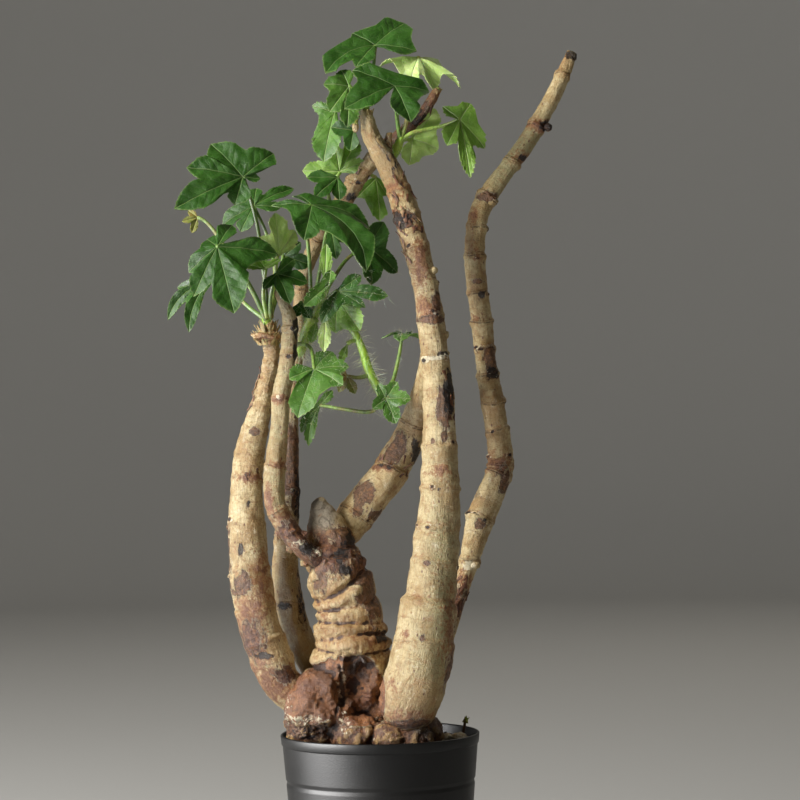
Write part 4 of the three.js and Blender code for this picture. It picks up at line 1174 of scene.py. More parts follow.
        values[Mark.DARK] = values[Mark.DARK] * (1 - face) + 0.2 * low
        values[Mark.STAIN] = values[Mark.STAIN] * (1 - face) + 0.25 * roots
        values[Mark.PALE] += 0.16 * roots
        for mark, value in values.items():
            Mesh.carry(piece, mark.value, np.clip(value, 0, 1.3))
        # crease: painted shade in the concave folds, with the real cracks and slits; ridge: a painted
        # highlight on the convex bumps, partly also their wear
        crease = self.creases(piece)
        Mesh.carry(piece, "crease", np.clip(np.maximum(crease, 1.2 * np.maximum(crack, slits)), 0, 1))
        Mesh.carry(piece, "ridge", np.clip(-crease, 0, 1))
        Mesh.carry(piece, "ring", ring)
        # hollow: painted shade, darkest high in the arched hollow under its lip, and under the foot of the
        # main stem
        under = 0.75 * base * np.exp(-((x - 25) / 10) ** 2 - ((z - 104) / 8) ** 2)
        Mesh.carry(piece, "hollow", inside * own * np.clip((z - 121 + 4 * clods) / 17, 0, 1) + under)
        mix = base[:, None]
        Mesh.carry(piece, "grain", (grain * (1 - mix) + (places + 300) * mix) * MM)

    def number(self, name: str) -> int:
        """Gives a stem's place in the list."""
        return [stem.name for stem in WOODY_STEMS].index(name)

    def unbent(self, places: Array, stem_of: Array, sample_of: Array) -> tuple[Array, Array, Array]:
        """Unbends the stems.

        Args:
            places: places in millimetres.
            stem_of: the stem that each lies on.
            sample_of: the nearest sample of that stem's spine.

        Returns:
            Each place as if its stem were straight, its distance from a ring, and its angle round the stem.
        """
        grain, ring, turn = np.zeros_like(places), np.full(len(places), 9.0), np.zeros(len(places))
        for number, stem in enumerate(WOODY_STEMS):
            own = np.nonzero(stem_of == number)[0]
            spine, sample = stem.spine, sample_of[own]
            offset = places[own] - spine.centre[sample]
            ways = (spine.ahead, spine.across, spine.other)
            ahead, x, y = (np.einsum("ij,ij->i", offset, way[sample]) for way in ways)
            along = spine.travel[sample] + ahead
            grain[own] = np.column_stack([x + self.apart * number, y, along])
            angle = turn[own] = np.arctan2(y, x)
            for height in stem.rings:
                at = spine.first_at(height)
                away = along - at - 0.8 * np.sin(angle + at) - 0.35 * np.sin(3 * angle + 2 * at)
                closer = np.abs(away) < np.abs(ring[own])
                ring[own[closer]] = away[closer]
        return grain, ring, turn

    def roughness(self, places: Array, grain: Array) -> Array:
        """Draws the uneven height of the bark.

        Args:
            places: places in millimetres.
            grain: the places on the unbent stems.

        Returns:
            The height at each place, from about -1 to 1.
        """
        return np.array([0.6 * noise.noise(Vector(place) * 0.22)
                         + 0.6 * noise.noise(Vector((x * 0.6, y * 0.6, z * 0.12)))
                         + 0.8 * noise.noise(Vector((x * 0.3, y * 0.3, z * 0.7)))
                         for place, (x, y, z) in zip(places, grain)])

    def clods(self, places: Array) -> Array:
        """Gives the rugged height of the caudex's skin and roots, from about -1 to 1."""
        return np.array([noise.noise(Vector(place) * 0.13) + 0.5 * noise.noise(Vector(place) * 0.33)
                         + 0.45 * noise.noise(Vector(place) * 0.75) for place in places])

    def marks(self, places: Array, normals: Array, stem_of: Array, grain: Array,
              turn: Array) -> dict[Mark, Array]:
        """Adds up the leaf scars, the patches seen in front, and seeded ones on the other sides.

        Args:
            places: places in millimetres.
            normals: the skin's directions.
            stem_of: the stem that each place lies on.
            grain: the place on the unbent stem.
            turn: the angle round the stem.

        Returns:
            The values of each mark.
        """
        values = {mark: np.zeros(len(places)) for mark in Mark}
        front = np.clip(0.5 - normals[:, 1] * 1.6, 0, 1)
        for name, patches in PATCHES.items():
            own = stem_of == self.number(name)
            for mark, rows in patches.items():
                for x, z, wide, tall, strength in rows:
                    near = np.exp(-((places[:, 0] - x) / wide) ** 2 - ((places[:, 2] - z) / tall) ** 2)
                    values[mark] += strength * near * own * front
        rng = np.random.default_rng(7)
        for number, stem in enumerate(WOODY_STEMS):
            own = stem_of == number
            for mark, share in self.shares.items():
                values[mark][own] += share.get(stem.name, 0)
            along, angle = grain[own, 2], turn[own]
            radius = np.hypot(grain[own, 0] - self.apart * number, grain[own, 1])
            for at, facing, size in stem.scars:
                aside = np.abs(np.angle(np.exp(1j * (angle - facing)))) * radius
                near = np.exp(-(aside / (1.5 * size)) ** 2 - ((along - at) / size) ** 2)
                values[Mark.DARK][own] += 1.15 * near**3
                values[Mark.RUDDY][own] += 0.8 * near
                values[Mark.PALE][own] += 0.55 * (4 * near * (1 - near)) ** 4
            for _ in range(int(stem.spine.travel[-1] / 14)):
                sample = rng.integers(len(stem.spine.centre))
                facing = rng.normal(size=3) * (1, 0.4, 0.3) + (0, 0.9, 0)
                facing /= np.linalg.norm(facing)
                middle = stem.spine.centre[sample] + facing * stem.spine.radius[sample]
                size, mark = rng.uniform(3, 9), (Mark.STAIN, Mark.RUDDY, Mark.DARK)[rng.integers(3)]
                size = size * 0.5 if mark is Mark.DARK else size
                near = np.exp(-((places - middle) ** 2).sum(1) / size**2)
                values[mark] += rng.uniform(0.6, 1.1) * near * own * (1 - front)
        return values

    def creases(self, piece: Piece) -> Array:
        """Measures how deep in a crease each vertex lies.

        Args:
            piece: the piece.

        Returns:
            The depth up to 1, or how high on a ridge, down to -1.
        """
        places = Mesh.places(piece) / MM
        a, b = Mesh.read(piece.data.edges, "vertices", 2, int).T
        count = np.bincount(np.concatenate([a, b]), minlength=len(places))
        even = places
        for _ in range(5):
            total = np.zeros_like(places)
            np.add.at(total, a, even[b])
            np.add.at(total, b, even[a])
            even = total / count[:, None]
        hollow = np.einsum("ij,ij->i", even - places, Mesh.normals(piece))
        for _ in range(2):
            hollow = (np.bincount(a, hollow[b], len(places)) + np.bincount(b, hollow[a], len(places))) / count
        return np.clip(hollow / 0.3, -1, 1)


class Kind(Enum):
    """A leaf's colouring, named by the record's finish."""

    GREEN = "leaf"
    PALE = "pale_leaf"
    DRY = "dry_leaf"


class Tint(Enum):
    """How old a leaf is, and painted light: lighter tints for the light that falls on or through a leaf."""

    DEEP = "deep"
    MIDDLE = "middle"
    FRESH = "fresh"
    BACKLIT = "backlit"
    DRY = "dry"


@dataclass(frozen=True)
class LeafFinish:
    """One face of a leaf: blade, veins, quilted relief and gloss."""

    name: str
    blade: str
    second: str
    vein: str
    gloss: float = 0.3
    vein_share: float = 0.75
    sunken: float = 1.0
    pitch: float = 4.4
    speck: str = "4f4a20"

    def material(self) -> Material:
        """Builds the face, which reads the distance from the midrib and along it from the mesh.

        Returns:
            The material.
        """
        p = Paint(self.name)
        leaf = p.data("leaf", "Vector")
        away, run, edge = (p.node("SeparateXYZ", {0: leaf}, axis) for axis in "XYZ")
        where = p.place()
        mottle = p.cloud(where, 85, 4, 0.6)
        slant = run + p.cloud(where, 150, 2) * 1.8 - away * 0.9
        phase = abs(p.sum("FRACT", p.sum("DIVIDE", slant, self.pitch)) - 0.5)
        side_veins = p.ease(phase, 0.45, 0.495) * p.ease(edge, 1.0, 0.75)
        net = p.ease(p.cells(where, 520, "DISTANCE_TO_EDGE"), 0.09, 0.02)
        veins = p.sum("MAXIMUM", p.ease(away, 0.5, 0.12), side_veins * 0.3)
        veins = p.sum("MAXIMUM", veins, net * 0.14)
        puff = p.ease(phase, 0.48, 0.08) * p.ease(away, 0.2, 2.2)
        specks = p.ease(p.cells(where, 330), 0.09, 0.05) * p.ease(mottle, 0.57, 0.62)
        colour = p.layers(
            self.blade,
            (p.ease(mottle, 0.36, 0.66), self.second),
            (puff * 0.2, self.second),
            (veins * self.vein_share, self.vein),
            (p.ease(edge, 0.96, 0.99, 0, 0.35), self.vein),
            (specks * 0.5, self.speck))
        bump = p.relief(veins * -self.sunken, 0.26, p.relief(puff, 0.09))
        bump = p.relief(p.cloud(where, 260, 3), 0.5, bump)
        return p.coat(colour, p.ease(mottle, 0.3, 0.7, self.gloss, self.gloss + 0.14), bump,
                      Subsurface_Weight=0.3, Subsurface_Scale=0.002, Subsurface_Radius=(0.5, 0.8, 0.15),
                      Specular_IOR_Level=0.27)


@dataclass(frozen=True)
class StalkFinish:
    """A smooth green or dried stalk with faint lengthwise streaks."""

    name: str
    light: str
    dark: str
    blush: str
    rough: float = 0.42

    def material(self) -> Material:
        """Builds the stalk.

        Returns:
            The material.
        """
        p = Paint(self.name)
        streaks = p.cloud(p.place((1, 1, 0.15)), 900, 3)
        patches = p.cloud(p.place(), 110, 3)
        colour = p.layers(self.light, (p.ease(streaks, 0.35, 0.7), self.dark),
                          (p.ease(patches, 0.52, 0.7, 0, 0.7), self.blush))
        bump = p.relief(streaks + p.cloud(p.place(), 1600, 2), 0.16)
        return p.coat(colour, p.ease(patches, 0.3, 0.7, self.rough, self.rough + 0.15), bump,
                      Subsurface_Weight=0.15, Subsurface_Scale=0.001)


LEAF_FINISHES = {
    Tint.DEEP: (
        LeafFinish("leaf_upper", "224810", "365f1e", "869c60", 0.42, 0.42),
        LeafFinish("leaf_under", "5d7c42", "71904f", "aabd84", 0.48, 0.6, -1.0),
        StalkFinish("leaf_stalk", "7a9c44", "4f7430", "96784a"),
    ),
    Tint.MIDDLE: (
        LeafFinish("middle_leaf_upper", "426b26", "5a8432", "9eb276", 0.42, 0.55),
        LeafFinish("middle_leaf_under", "748f55", "8aa368", "bccb98", 0.48, 0.6, -1.0),
        StalkFinish("middle_leaf_stalk", "8fae52", "61853a", "9c8050"),
    ),
    Tint.FRESH: (
        LeafFinish("fresh_leaf_upper", "669232", "84ac46", "bccd90", 0.44, 0.6),
        LeafFinish("fresh_leaf_under", "83a258", "9ab56e", "c8d6a2", 0.48, 0.6, -1.0),
        StalkFinish("fresh_leaf_stalk", "a9c75e", "7fa344", "b0985c"),
    ),
    # painted light: these lighter colours stand in for light shining through the leaves
    Tint.BACKLIT: (
        LeafFinish("backlit_leaf_upper", "b2d476", "cae492", "dce6b6", 0.46, 0.5),
        LeafFinish("backlit_leaf_under", "bede84", "d2e8a0", "dee8ba", 0.5, 0.5, -1.0),
        StalkFinish("backlit_leaf_stalk", "b4cf66", "8fb04a", "b09a5c"),
    ),
    Tint.DRY: (
        LeafFinish("dry_leaf_upper", "7e8a44", "8a6a38", "a9a860", 0.55, 0.5),
        LeafFinish("dry_leaf_under", "8f9a50", "94733f", "b3b070", 0.6, 0.5, -1.0),
        StalkFinish("dry_leaf_stalk", "8fa858", "6f8442", "7c5f38", 0.5),
    ),
}
TINTS = {
    Tint.MIDDLE: ("middle_olive", "hanging_big", "hanging_end", "hanging_narrow", "hanging_back", "top_pale",
                  "top_folded"),
    # top_right takes the fresh colours as painted light, for the light falling on it
    Tint.FRESH: ("top_right", "middle_toothed", "left_bud", "middle_rolled", "middle_pale", "hanging_curled",
                 "top_olive", "top_hidden"),
    # the backlit leaves are painted with the light falling through them
    Tint.BACKLIT: ("left_folded", "middle_narrow", "top_umbrella", "top_behind"),
    Tint.DRY: ("left_withered", "hanging_withered"),
}


@dataclass
class Lobe:
    """One lobe of a leaf, with its own directions and the room it has beside it."""

    along: Array
    up: Array
    side: Array
    length: float
    half_width: float
    bend: float
    room_before: float = 1e3
    room_after: float = 1e3

    def held(self, share: Array, sideways: Array) -> Array:
        """Keeps sideways distances short of the neighbouring lobes."""
        room = share * self.length * np.where(sideways < 0, self.room_before, self.room_after)
        return np.sign(sideways) * np.minimum(np.abs(sideways), room)

    def place(self, origin: Array, share: Array, sideways: Array) -> Array:
        """Places points of the lobe.

        Args:
            origin: the leaf's junction.
            share: how far along the midrib each lies, as a share.
            sideways: how far beside it.

        Returns:
            Their places.
        """
        bow = self.length * 4 * share * (1 - share)
        rise = LeafShape.ARCH * bow + LeafShape.FOLD * np.abs(sideways)
        return (origin + np.multiply.outer(self.length * share, self.along)
                + np.multiply.outer(sideways + self.bend * bow, self.side) + np.multiply.outer(rise, self.up))


class LeafShape:
    """Shares that all blades have in common."""

    ARCH = 0.06
    FOLD = 0.24
    BASE = 0.1
    HEEL = 0.055
    ROOM = 0.93
    LARGE = 31
    TOOTH = (2.1, 0.85)
    DEEP_TOOTH = (2.0, 0.42)
    SMALL_TOOTH = (1.7, 0.34)
    THICKNESS = 0.42
    STALK = (1.2, 0.85)
    TOOTHED = ((0.0, 0.1), (0.25, 0.44), (0.5, 0.86), (0.66, 1.0), (0.84, 0.66), (0.94, 0.3), (1.0, 0.0))
    PLAIN = ((0.0, 0.12), (0.3, 0.62), (0.58, 0.98), (0.8, 0.8), (0.93, 0.4), (1.0, 0.0))


@dataclass
class Leaf:
    """A leaf with its stalk. Lobes are tip, half width and bend, clockwise as seen from the upper face."""

    name: str
    stalk: Sequence[Point]
    junction: Point
    lobes: Rows
    kind: Kind = Kind.GREEN
    sinus: float = 0.5
    up: Point | None = None

    def frames(self) -> tuple[Array, Array, list[Lobe]]:
        """Finds how the leaf lies.

        Returns:
            The junction, the upper direction and the lobes.
        """
        origin = np.array(self.junction, float)
        ways = [np.array(lobe[:3], float) - origin for lobe in self.lobes]
        if self.up is not None:
            up = np.array(self.up, float)
        elif len(ways) < 2:
            up = np.array([0.0, -1.0, 0.0])
        else:
            up = sum(np.cross(b, a) for a, b in zip(ways, ways[1:]))
        up = up / np.linalg.norm(up)
        lobes = []
        for way, row in zip(ways, self.lobes):
            length = np.linalg.norm(way)
            along = way / length
            lobe_up = up - along * up.dot(along)
            lobe_up /= np.linalg.norm(lobe_up)
            bend = row[4] if len(row) > 4 else 0.0
            lobes.append(Lobe(along, lobe_up, np.cross(along, lobe_up), length, row[3], bend))
        pairs = zip(lobes, lobes[1:] + lobes[:1])
        angles = [math.acos(np.clip(a.along.dot(b.along), -1, 1)) for a, b in pairs]
        if sum(angles[:-1]) < math.pi:
            angles[-1] = math.pi * 0.98
        for i, lobe in enumerate(lobes):
            lobe.room_after = LeafShape.ROOM * math.tan(angles[i] / 2)
            lobe.room_before = LeafShape.ROOM * math.tan(angles[i - 1] / 2)
        return origin, up, lobes

    def edge(self, lobes: list[Lobe], rng: Dice) -> list[tuple[float, ...]]:
        """Runs once round the blade's edge.

        Args:
            lobes: the leaf's lobes.
            rng: draws the unevenness of the teeth.

        Returns:
            Columns: the first lobe's share of the place, then number, share and sideways of two lobes.
        """
        large = max(lobe.length for lobe in lobes) > LeafShape.LARGE
        side = np.array(LeafShape.TOOTHED if large else LeafShape.PLAIN)
        columns = []
        for i, lobe in enumerate(lobes):
            for way in (-1, 1):
                other = i + way
                joined = 0 <= other < len(lobes)
                start = self.sinus if joined else 0.25
                pitch, depth = self.tooth(large)
                teeth = max(2, round(lobe.length * (1 - start) / pitch))
                notch = np.repeat(np.arange(teeth), 3) + np.tile((0.0, 0.5, 0.9), teeth)
                t = np.append(notch, teeth) / teeth
                share = start + (1 - start) * t
                width = np.interp(share, side[:, 0], side[:, 1]) * lobe.half_width
                size = np.repeat(rng.uniform(0.55, 1.25, teeth), 3) * np.tile((-0.5, 0.05, 0.75), teeth)
                size = np.append(size * depth, 0) * np.clip((1 - t) * 5, 0, 1) * np.clip(t * 4, 0, 1)
                width = np.maximum(width + size, 0)
                sideways = lobe.held(share, way * width)
                mine, facing = np.ones(len(t)), 0.0
                if joined:
                    mine = 0.5 + 0.5 * np.clip(t / 0.2, 0, 1) ** 0.7
                    near = lobes[other]
                    facing = float(near.held(np.array(self.sinus), np.array(-way * 0.5 * near.half_width)))
                second = (other, self.sinus, facing) if joined else (i, 0.0, facing)
                rows = [(mine[k], i, share[k], sideways[k], *second) for k in range(len(t))]
                if way < 0:
                    columns += rows[1:] if joined else rows
                else:
                    columns += rows[-2::-1]
        return columns

    def blade(self, rng: Dice) -> Piece:
        """Makes the blade as a disc whose columns run out to the edge.

        Args:
            rng: draws its teeth and its ripple.

        Returns:
            The blade.
        """
        origin, up, lobes = self.frames()
        columns = self.edge(lobes, rng)
        longest = max(lobe.length for lobe in lobes)
        reach = np.linspace(0, 1, int(np.clip(round(longest / 1.7), 7, 22)))
        ripple = rng.uniform(0, 6, 3)
        grid, data = [], []
        for mine, a, share_a, side_a, b, share_b, side_b in columns:
            first = lobes[a].place(origin, share_a * reach, side_a * reach)
            second = lobes[b].place(origin, share_b * reach, side_b * reach)
            grid.append(mine * first + (1 - mine) * second)
            away = mine * abs(side_a) * reach + (1 - mine) * abs(side_b) * reach
            run = mine * share_a * lobes[a].length * reach + (1 - mine) * share_b * lobes[b].length * reach
            data.append(np.column_stack([away, run, reach]))
        grid.append(origin + np.multiply.outer(reach, self.behind(LeafShape.BASE) - origin))
        data.append(np.column_stack([0 * reach, 0 * reach, reach]))
        grid, data = np.array(grid + grid[:1]), np.array(data + data[:1])
        wave = np.sin(grid[..., 0] * 0.55 + ripple[0]) * np.sin(grid[..., 2] * 0.5 + ripple[1]) * 0.45
        quilt = np.cos(2 * np.pi * (data[..., 1] - 0.9 * data[..., 0] + 0.9) / LeafFinish.pitch)
        wave -= quilt * 0.06 * np.clip(data[..., 0] / 3, 0, 1) * (1 - reach**3)
        grid = grid + (wave * np.clip(reach * 1.4, 0, 1))[..., None] * up
        piece = Mesh.rolled("blade", grid.transpose(1, 0, 2), carried={"leaf": data.transpose(1, 0, 2)})
        Mesh.modify(piece, "SOLIDIFY", thickness=LeafShape.THICKNESS * MM, offset=0, material_offset=1,
                    material_offset_rim=1)
        return piece

    def behind(self, share: float) -> Array:
        """Gives the place behind the junction where the lobes' midribs, drawn on by a share, meet."""
        origin, _, lobes = self.frames()
        return np.mean([lobe.place(origin, np.array([-share]), np.array([0.0]))[0] for lobe in lobes], axis=0)

    def petiole(self) -> Piece:
        """Makes the stalk.

        Returns:
            The stalk, which ends at the heel behind the junction.
        """
        points = [*self.stalk, tuple(self.behind(LeafShape.HEEL))]
        radii = np.linspace(*LeafShape.STALK, len(points))
        spine = Spine.along([(*point, radius) for point, radius in zip(points, radii)], 1.6)
        swell = 1 + 0.3 * np.exp(-spine.travel / 2.5) + 0.25 * np.exp(-(spine.travel[-1] - spine.travel) / 2)
        return Mesh.rolled("petiole", spine.skin(np.repeat((spine.radius * swell)[:, None], 12, axis=1)))

    def tooth(self, large: bool) -> Span:
        """Gives the spacing and the depth of the teeth."""
        plain = LeafShape.DEEP_TOOTH if large else LeafShape.SMALL_TOOTH
        return LeafShape.TOOTH if self.tint() in (Tint.FRESH, Tint.MIDDLE, Tint.BACKLIT) else plain

    def tint(self) -> Tint:
        """Gives the leaf's tint."""
        return next((tint for tint, names in TINTS.items() if self.name in names), Tint.DEEP)

    def build(self, finishes: dict[Tint, tuple[Material, ...]], seed: int) -> Piece:
        """Makes the leaf, dresses it and puts it in its node's place.

        Args:
            finishes: upper face, under face and stalk of each tint.
            seed: the seed of its teeth and its ripple.

        Returns:
            The leaf.
        """
        upper, under, green = finishes[self.tint()]
        blade = self.blade(np.random.default_rng(seed))
        Mesh.dress(blade, upper, under)
        stalk = self.petiole()
        Mesh.dress(stalk, green)
        piece = Mesh.join(f"fine_leaf_{self.name}", [blade, stalk])
        seat(piece, self.kind.value, f"leaf_{self.name}", angle=60)
        return piece


LEAVES = (
    Leaf("left_upper", ((-55, -6, 319), (-57.5, -7, 345), (-60, -8, 367), (-64, -10, 384)), (-67, -17, 393),
         ((-71, -22, 378, 7), (-102, -30, 376, 8.4), (-96, -20, 398, 8.4), (-84, -9, 411, 9),
          (-51, -8, 406, 8.6), (-58, -14, 392, 2.6)), sinus=0.6),
    Leaf("left_pale", ((-55, -3, 320), (-52, 8, 345), (-57, 17, 366)), (-63, 17, 380),
         ((-70, 13, 366, 5.4), (-80, 19, 370, 6.2), (-62, 24, 390, 4.6), (-42, 29, 390, 4.6),
          (-49, 18, 379, 4.4)), kind=Kind.PALE),
    Leaf("left_front", ((-56.5, -7, 319), (-64, -13, 336), (-73, -21, 350)), (-80, -31, 356),
         ((-49, -21, 352, 7), (-71, -43, 321, 10.8), (-92, -38, 330, 6.4), (-95, -28, 343, 5.4),
          (-86, -21, 360, 5), (-73, -18, 368, 5.4)), sinus=0.58),
    Leaf("left_hanging", ((-57, -5, 319), (-65, 1, 325), (-75, 8, 334)), (-87, 13, 340),
         ((-98, 6, 313, 4, 0.1), (-110, 17, 320, 3.6, 0.14), (-105, 22, 337, 3)), up=(0.1, -1, 0.2)),
    Leaf("left_withered", ((-57, -3.5, 320), (-67, 4, 340), (-79, 9, 359), (-85, 11, 368), (-90, 12, 373)),
         (-93, 12, 374), ((-96, 11, 366, 2), (-101, 10, 372, 2), (-98, 14, 378, 1.8)), kind=Kind.DRY),
    Leaf("left_folded", ((-54, -4, 320), (-52, -1, 338)), (-50, -4, 353),
         ((-59, -10, 362, 5), (-51, -6, 375, 6.6), (-41, 2, 366, 5)), kind=Kind.PALE, sinus=0.7),
    Leaf("left_small", ((-54.5, -3, 320), (-50, 5, 335)), (-47, 9, 353),
         ((-38, 8, 360, 3.6), (-33, 10, 348, 4.6))),
    Leaf("left_bud", ((-56, -7.5, 320), (-57.5, -12, 332)), (-56, -16, 345),
         ((-69, -18, 347, 2), (-61, -13, 352, 2.2), (-48, -14, 350, 1.8)), kind=Kind.PALE),
    Leaf("left_inner", ((-54, -7, 320), (-53.5, -14, 331)), (-50, -18, 342),
         ((-41, -11, 350, 3.6), (-34, -16, 337, 4.6), (-43, -27, 326, 4.8), (-57, -24, 334, 2.8))),
    Leaf("middle_front", ((-33, 0, 320), (-33, -6, 345), (-34, -16, 369)), (-31, -27, 377),
         ((-39, -16, 383, 5.4), (-1, -18, 365, 7.4, -0.1), (-3, -44, 341, 9.4, -0.16), (-35, -40, 358, 8),
          (-52, -25, 377, 2.8)), sinus=0.6),
    Leaf("middle_dark", ((-31, 0.5, 322), (-22, 9, 339), (-13, 20, 352)), (-3, 23, 358),
         ((6, 22, 371, 6.8), (13, 32, 344, 5), (-1, 17, 337, 6.8))),
    Leaf("middle_small", ((-33, 1, 321), (-28, 5, 345), (-24.5, 5, 364)), (-22, 1, 369),
         ((-14, -3, 359, 4.4), (-19, -6, 350, 4.6))),
    Leaf("middle_rolled", ((-31, 0, 322), (-27, -7, 330)), (-25, -9, 338),
         ((-24, -9, 358, 3.2),), kind=Kind.PALE),
    Leaf("middle_right", ((-28, -1, 326), (-22, -8, 331)), (-18, -12, 333),
         ((-6, -9, 341, 3.8), (8, -13, 330, 4.6), (-4, -13.5, 324, 2.8), (-27, -18, 316, 4.2)),
          up=(0, -1, 0.2)),
    Leaf("middle_olive", ((-29, -1, 325), (-25, -9, 331)), (-23, -15, 336),
         ((-36, -22, 325, 4.4), (-22, -12, 344, 3.2)), up=(0.2, -1, 0.2)),
    Leaf("middle_toothed", ((-21, -3, 324), (-20, -4, 328)), (-18.5, -6, 329),
         ((-7, -10, 312, 7), (-20, -8, 311, 6)), kind=Kind.PALE, sinus=0.85),
    Leaf("middle_narrow", ((-28, -1, 325), (-26, -8, 323)), (-25, -12, 320),
         ((-26, -16, 301, 3.4),), kind=Kind.PALE),
    Leaf("middle_curled", ((-35.5, 9, 313), (-37, 0, 323)), (-38, -8, 327),
         ((-33, -10, 319, 3.2), (-41, -10, 320, 3.4))),
    Leaf("middle_pale", ((-34, 5, 317), (-31, -3, 319)), (-30, -6, 317),
         ((-33, -7, 306, 2.8),), kind=Kind.PALE),
    Leaf("hanging_big", ((-41, 24, 304), (-40, 8, 306), (-33, -10, 303)), (-31, -20, 292),
         ((-22, -8, 301, 5.4), (-13, -19, 293, 5), (-16, -31, 283, 5.4), (-39.5, -34, 267, 8.4),
          (-44, -25, 287, 5.8)), kind=Kind.PALE, sinus=0.75),
    Leaf("hanging_end", ((3.5, -10, 277.5), (5, -13, 276.5)), (6, -15, 276),
         ((12, -13, 285, 3.4), (19, -17, 276, 4.4), (11, -20, 263, 4.6), (-1, -19, 271, 3.4),
          (2, -14, 284, 2.8))),
    Leaf("hanging_narrow", ((3.5, -10, 277.5), (-1, -12, 270), (-16, -10, 271)), (-29, -7, 273),
         ((-35, -10, 252, 3, 0.08), (-39, -8, 259, 2.8, 0.08), (-22, -6, 281, 2.4)), up=(0, -1, 0)),
    Leaf("hanging_withered", ((-2, -8.5, 289), (-8, -9, 287.5)), (-14, -10, 288),
         ((-10, -13, 279, 2.8), (-19, -9, 280, 2.2), (-19, -9, 292, 2)), kind=Kind.DRY, up=(0, -1, 0)),
    Leaf("hanging_curled", ((-8, -5, 307), (-11, -6, 307)), (-14, -7, 305),
         ((-18, -9, 295, 2),), kind=Kind.PALE),
    Leaf("hanging_back", ((4, -9.5, 278), (9, -5, 284), (13, -1, 298)), (15, 0, 310),
         ((17, 12, 310, 4.4), (25, 4, 307, 3.8), (14, -10, 306, 4), (4, -4, 308, 3.8)), up=(0, 0.1, 1)),
    Leaf("top_crown", ((-2, -11, 428), (0, -4, 439), (2, 2, 452)), (3, 2, 463),
         ((-7, -12, 450, 6.8), (-23, -12, 447, 11, 0.1), (-9, 8, 470, 6.4), (19, 17, 476, 13),
          (25, -1, 459, 8)), sinus=0.78),
    Leaf("top_pale", ((-2.5, -11, 428), (-5, -11, 434)), (-11, -13, 440),
         ((-12, -19, 418, 5.8), (-21, -20, 426, 6.2), (-24, -16, 441, 4.8), (-15, -9, 449, 4.8)),
          kind=Kind.PALE, sinus=0.7),
    Leaf("top_front", ((15.5, -3.5, 412), (14, -10, 424)), (13, -27, 438),
         ((-13, -41, 425, 8.6), (-9, -22, 447, 8.6), (31, -24, 435, 8), (21, -41, 418, 8.4)), sinus=0.7),
    Leaf("top_umbrella", ((15.5, -3.5, 412), (20, -6, 425), (23, -4, 441)), (26, 0, 456),
         ((32, 21, 453, 7), (48, 2, 440, 5.4), (33, -10, 438, 7), (21, -13, 439, 6.4), (4, -6, 450, 6)),
          kind=Kind.PALE, sinus=0.66, up=(0.05, 0.1, 1)),
    Leaf("top_right", ((15.5, -3.5, 412), (22, -4, 416), (31, -3, 418), (40, -4, 420)), (47, -8, 422),
         ((38, -6, 429, 3), (53, -2, 431, 5), (60, -6, 407, 5), (52, -13, 391, 4.4), (40, -15, 408, 6)),
          sinus=0.66, up=(0.1, -1, 0.3)),
    Leaf("top_behind", ((14, -1, 409), (17, 6, 413)), (22, 12, 414),
         ((35, 25, 431, 7), (36, 15, 409, 7.4), (20, 8, 400, 6.2)), kind=Kind.PALE, sinus=0.7),
    Leaf("top_folded", ((-3, -11, 428), (-10, 0, 430)), (-19, 11, 429),
         ((-25, 5, 402, 8.2), (-31, 14, 433, 3.4)), up=(-0.3, -1, 0)),
    Leaf("top_dark", ((-2.5, -10.5, 428), (-7, -2, 424)), (-9, 1, 418),
         ((-11, -2, 407, 4.2), (-21, 2, 420, 4.4)), up=(0, -1, 0.2)),
    Leaf("top_olive", ((-17, 21, 382), (-21, 18, 390)), (-17, 18, 398),
         ((-37, 21, 399, 5.4), (-19, 15, 412, 4.6), (-7, 20, 415, 5.4), (-3, 15, 403, 4)), kind=Kind.PALE),
    Leaf("top_curled", ((-21, 22, 376), (-23, 10, 387)), (-18, 0, 393),
         ((-17, -6, 381, 4.4), (-30, -9, 382, 4.6), (-34, -2, 393, 4.2))),
    Leaf("top_hidden", ((-6, 18, 396), (-5, 28, 399)), (2, 33, 395),
         ((8, 36, 386, 4.6), (4, 30, 372, 6.6), (-8, 32, 385, 4.6)), kind=Kind.PALE, sinus=0.8),
)


SHOOTS = (
    Stem("left", ((-55.5, -5, 308, 2.2), (-56, -5, 318, 3.2), (-55.5, -5, 322, 2.6)), around=24),
    Stem("arching", (
        (-40.5, 25, 301, 2.6), (-38, 14, 306, 3), (-33, 3, 319, 2.9), (-26, -2, 326, 2.4),
        (-18, -4, 322, 2.2), (-10.5, -4, 312, 2.1), (-6, -6, 302, 2.2), (-3, -8, 292, 2.3),
        (1, -9, 283, 2.3), (4, -10, 276.5, 1.8),
    ), around=24, wrinkle=0.08),
    Stem("top", ((-2.5, -11, 422, 2), (-2.5, -11, 428, 2.6), (-2, -10.5, 431, 1.6)), around=24),
    Stem("fork", ((6, 15, 405, 2.6), (12, 1, 406, 3.2), (15, -3, 411, 2.4), (16, -4, 413.5, 1.4)), around=24),
)


@dataclass
class Shoots:
    """The green shoots that carry the leaves."""

    finish: StalkFinish = StalkFinish("green_shoot", "a9cf45", "7fae35", "c3cf6a", 0.36)

    def build(self) -> list[Piece]:
        """Makes each shoot in its node's place.

        Returns:
            The shoots.
        """
        material = self.finish.material()
        pieces = []
        for seed, stem in enumerate(SHOOTS, 40):
            piece = stem.build(seed)
            piece.name = piece.data.name = f"fine_shoot_{stem.name}"
            seat(piece, "green_shoot", f"shoot_{stem.name}", coat=material)
            pieces.append(piece)
        return pieces


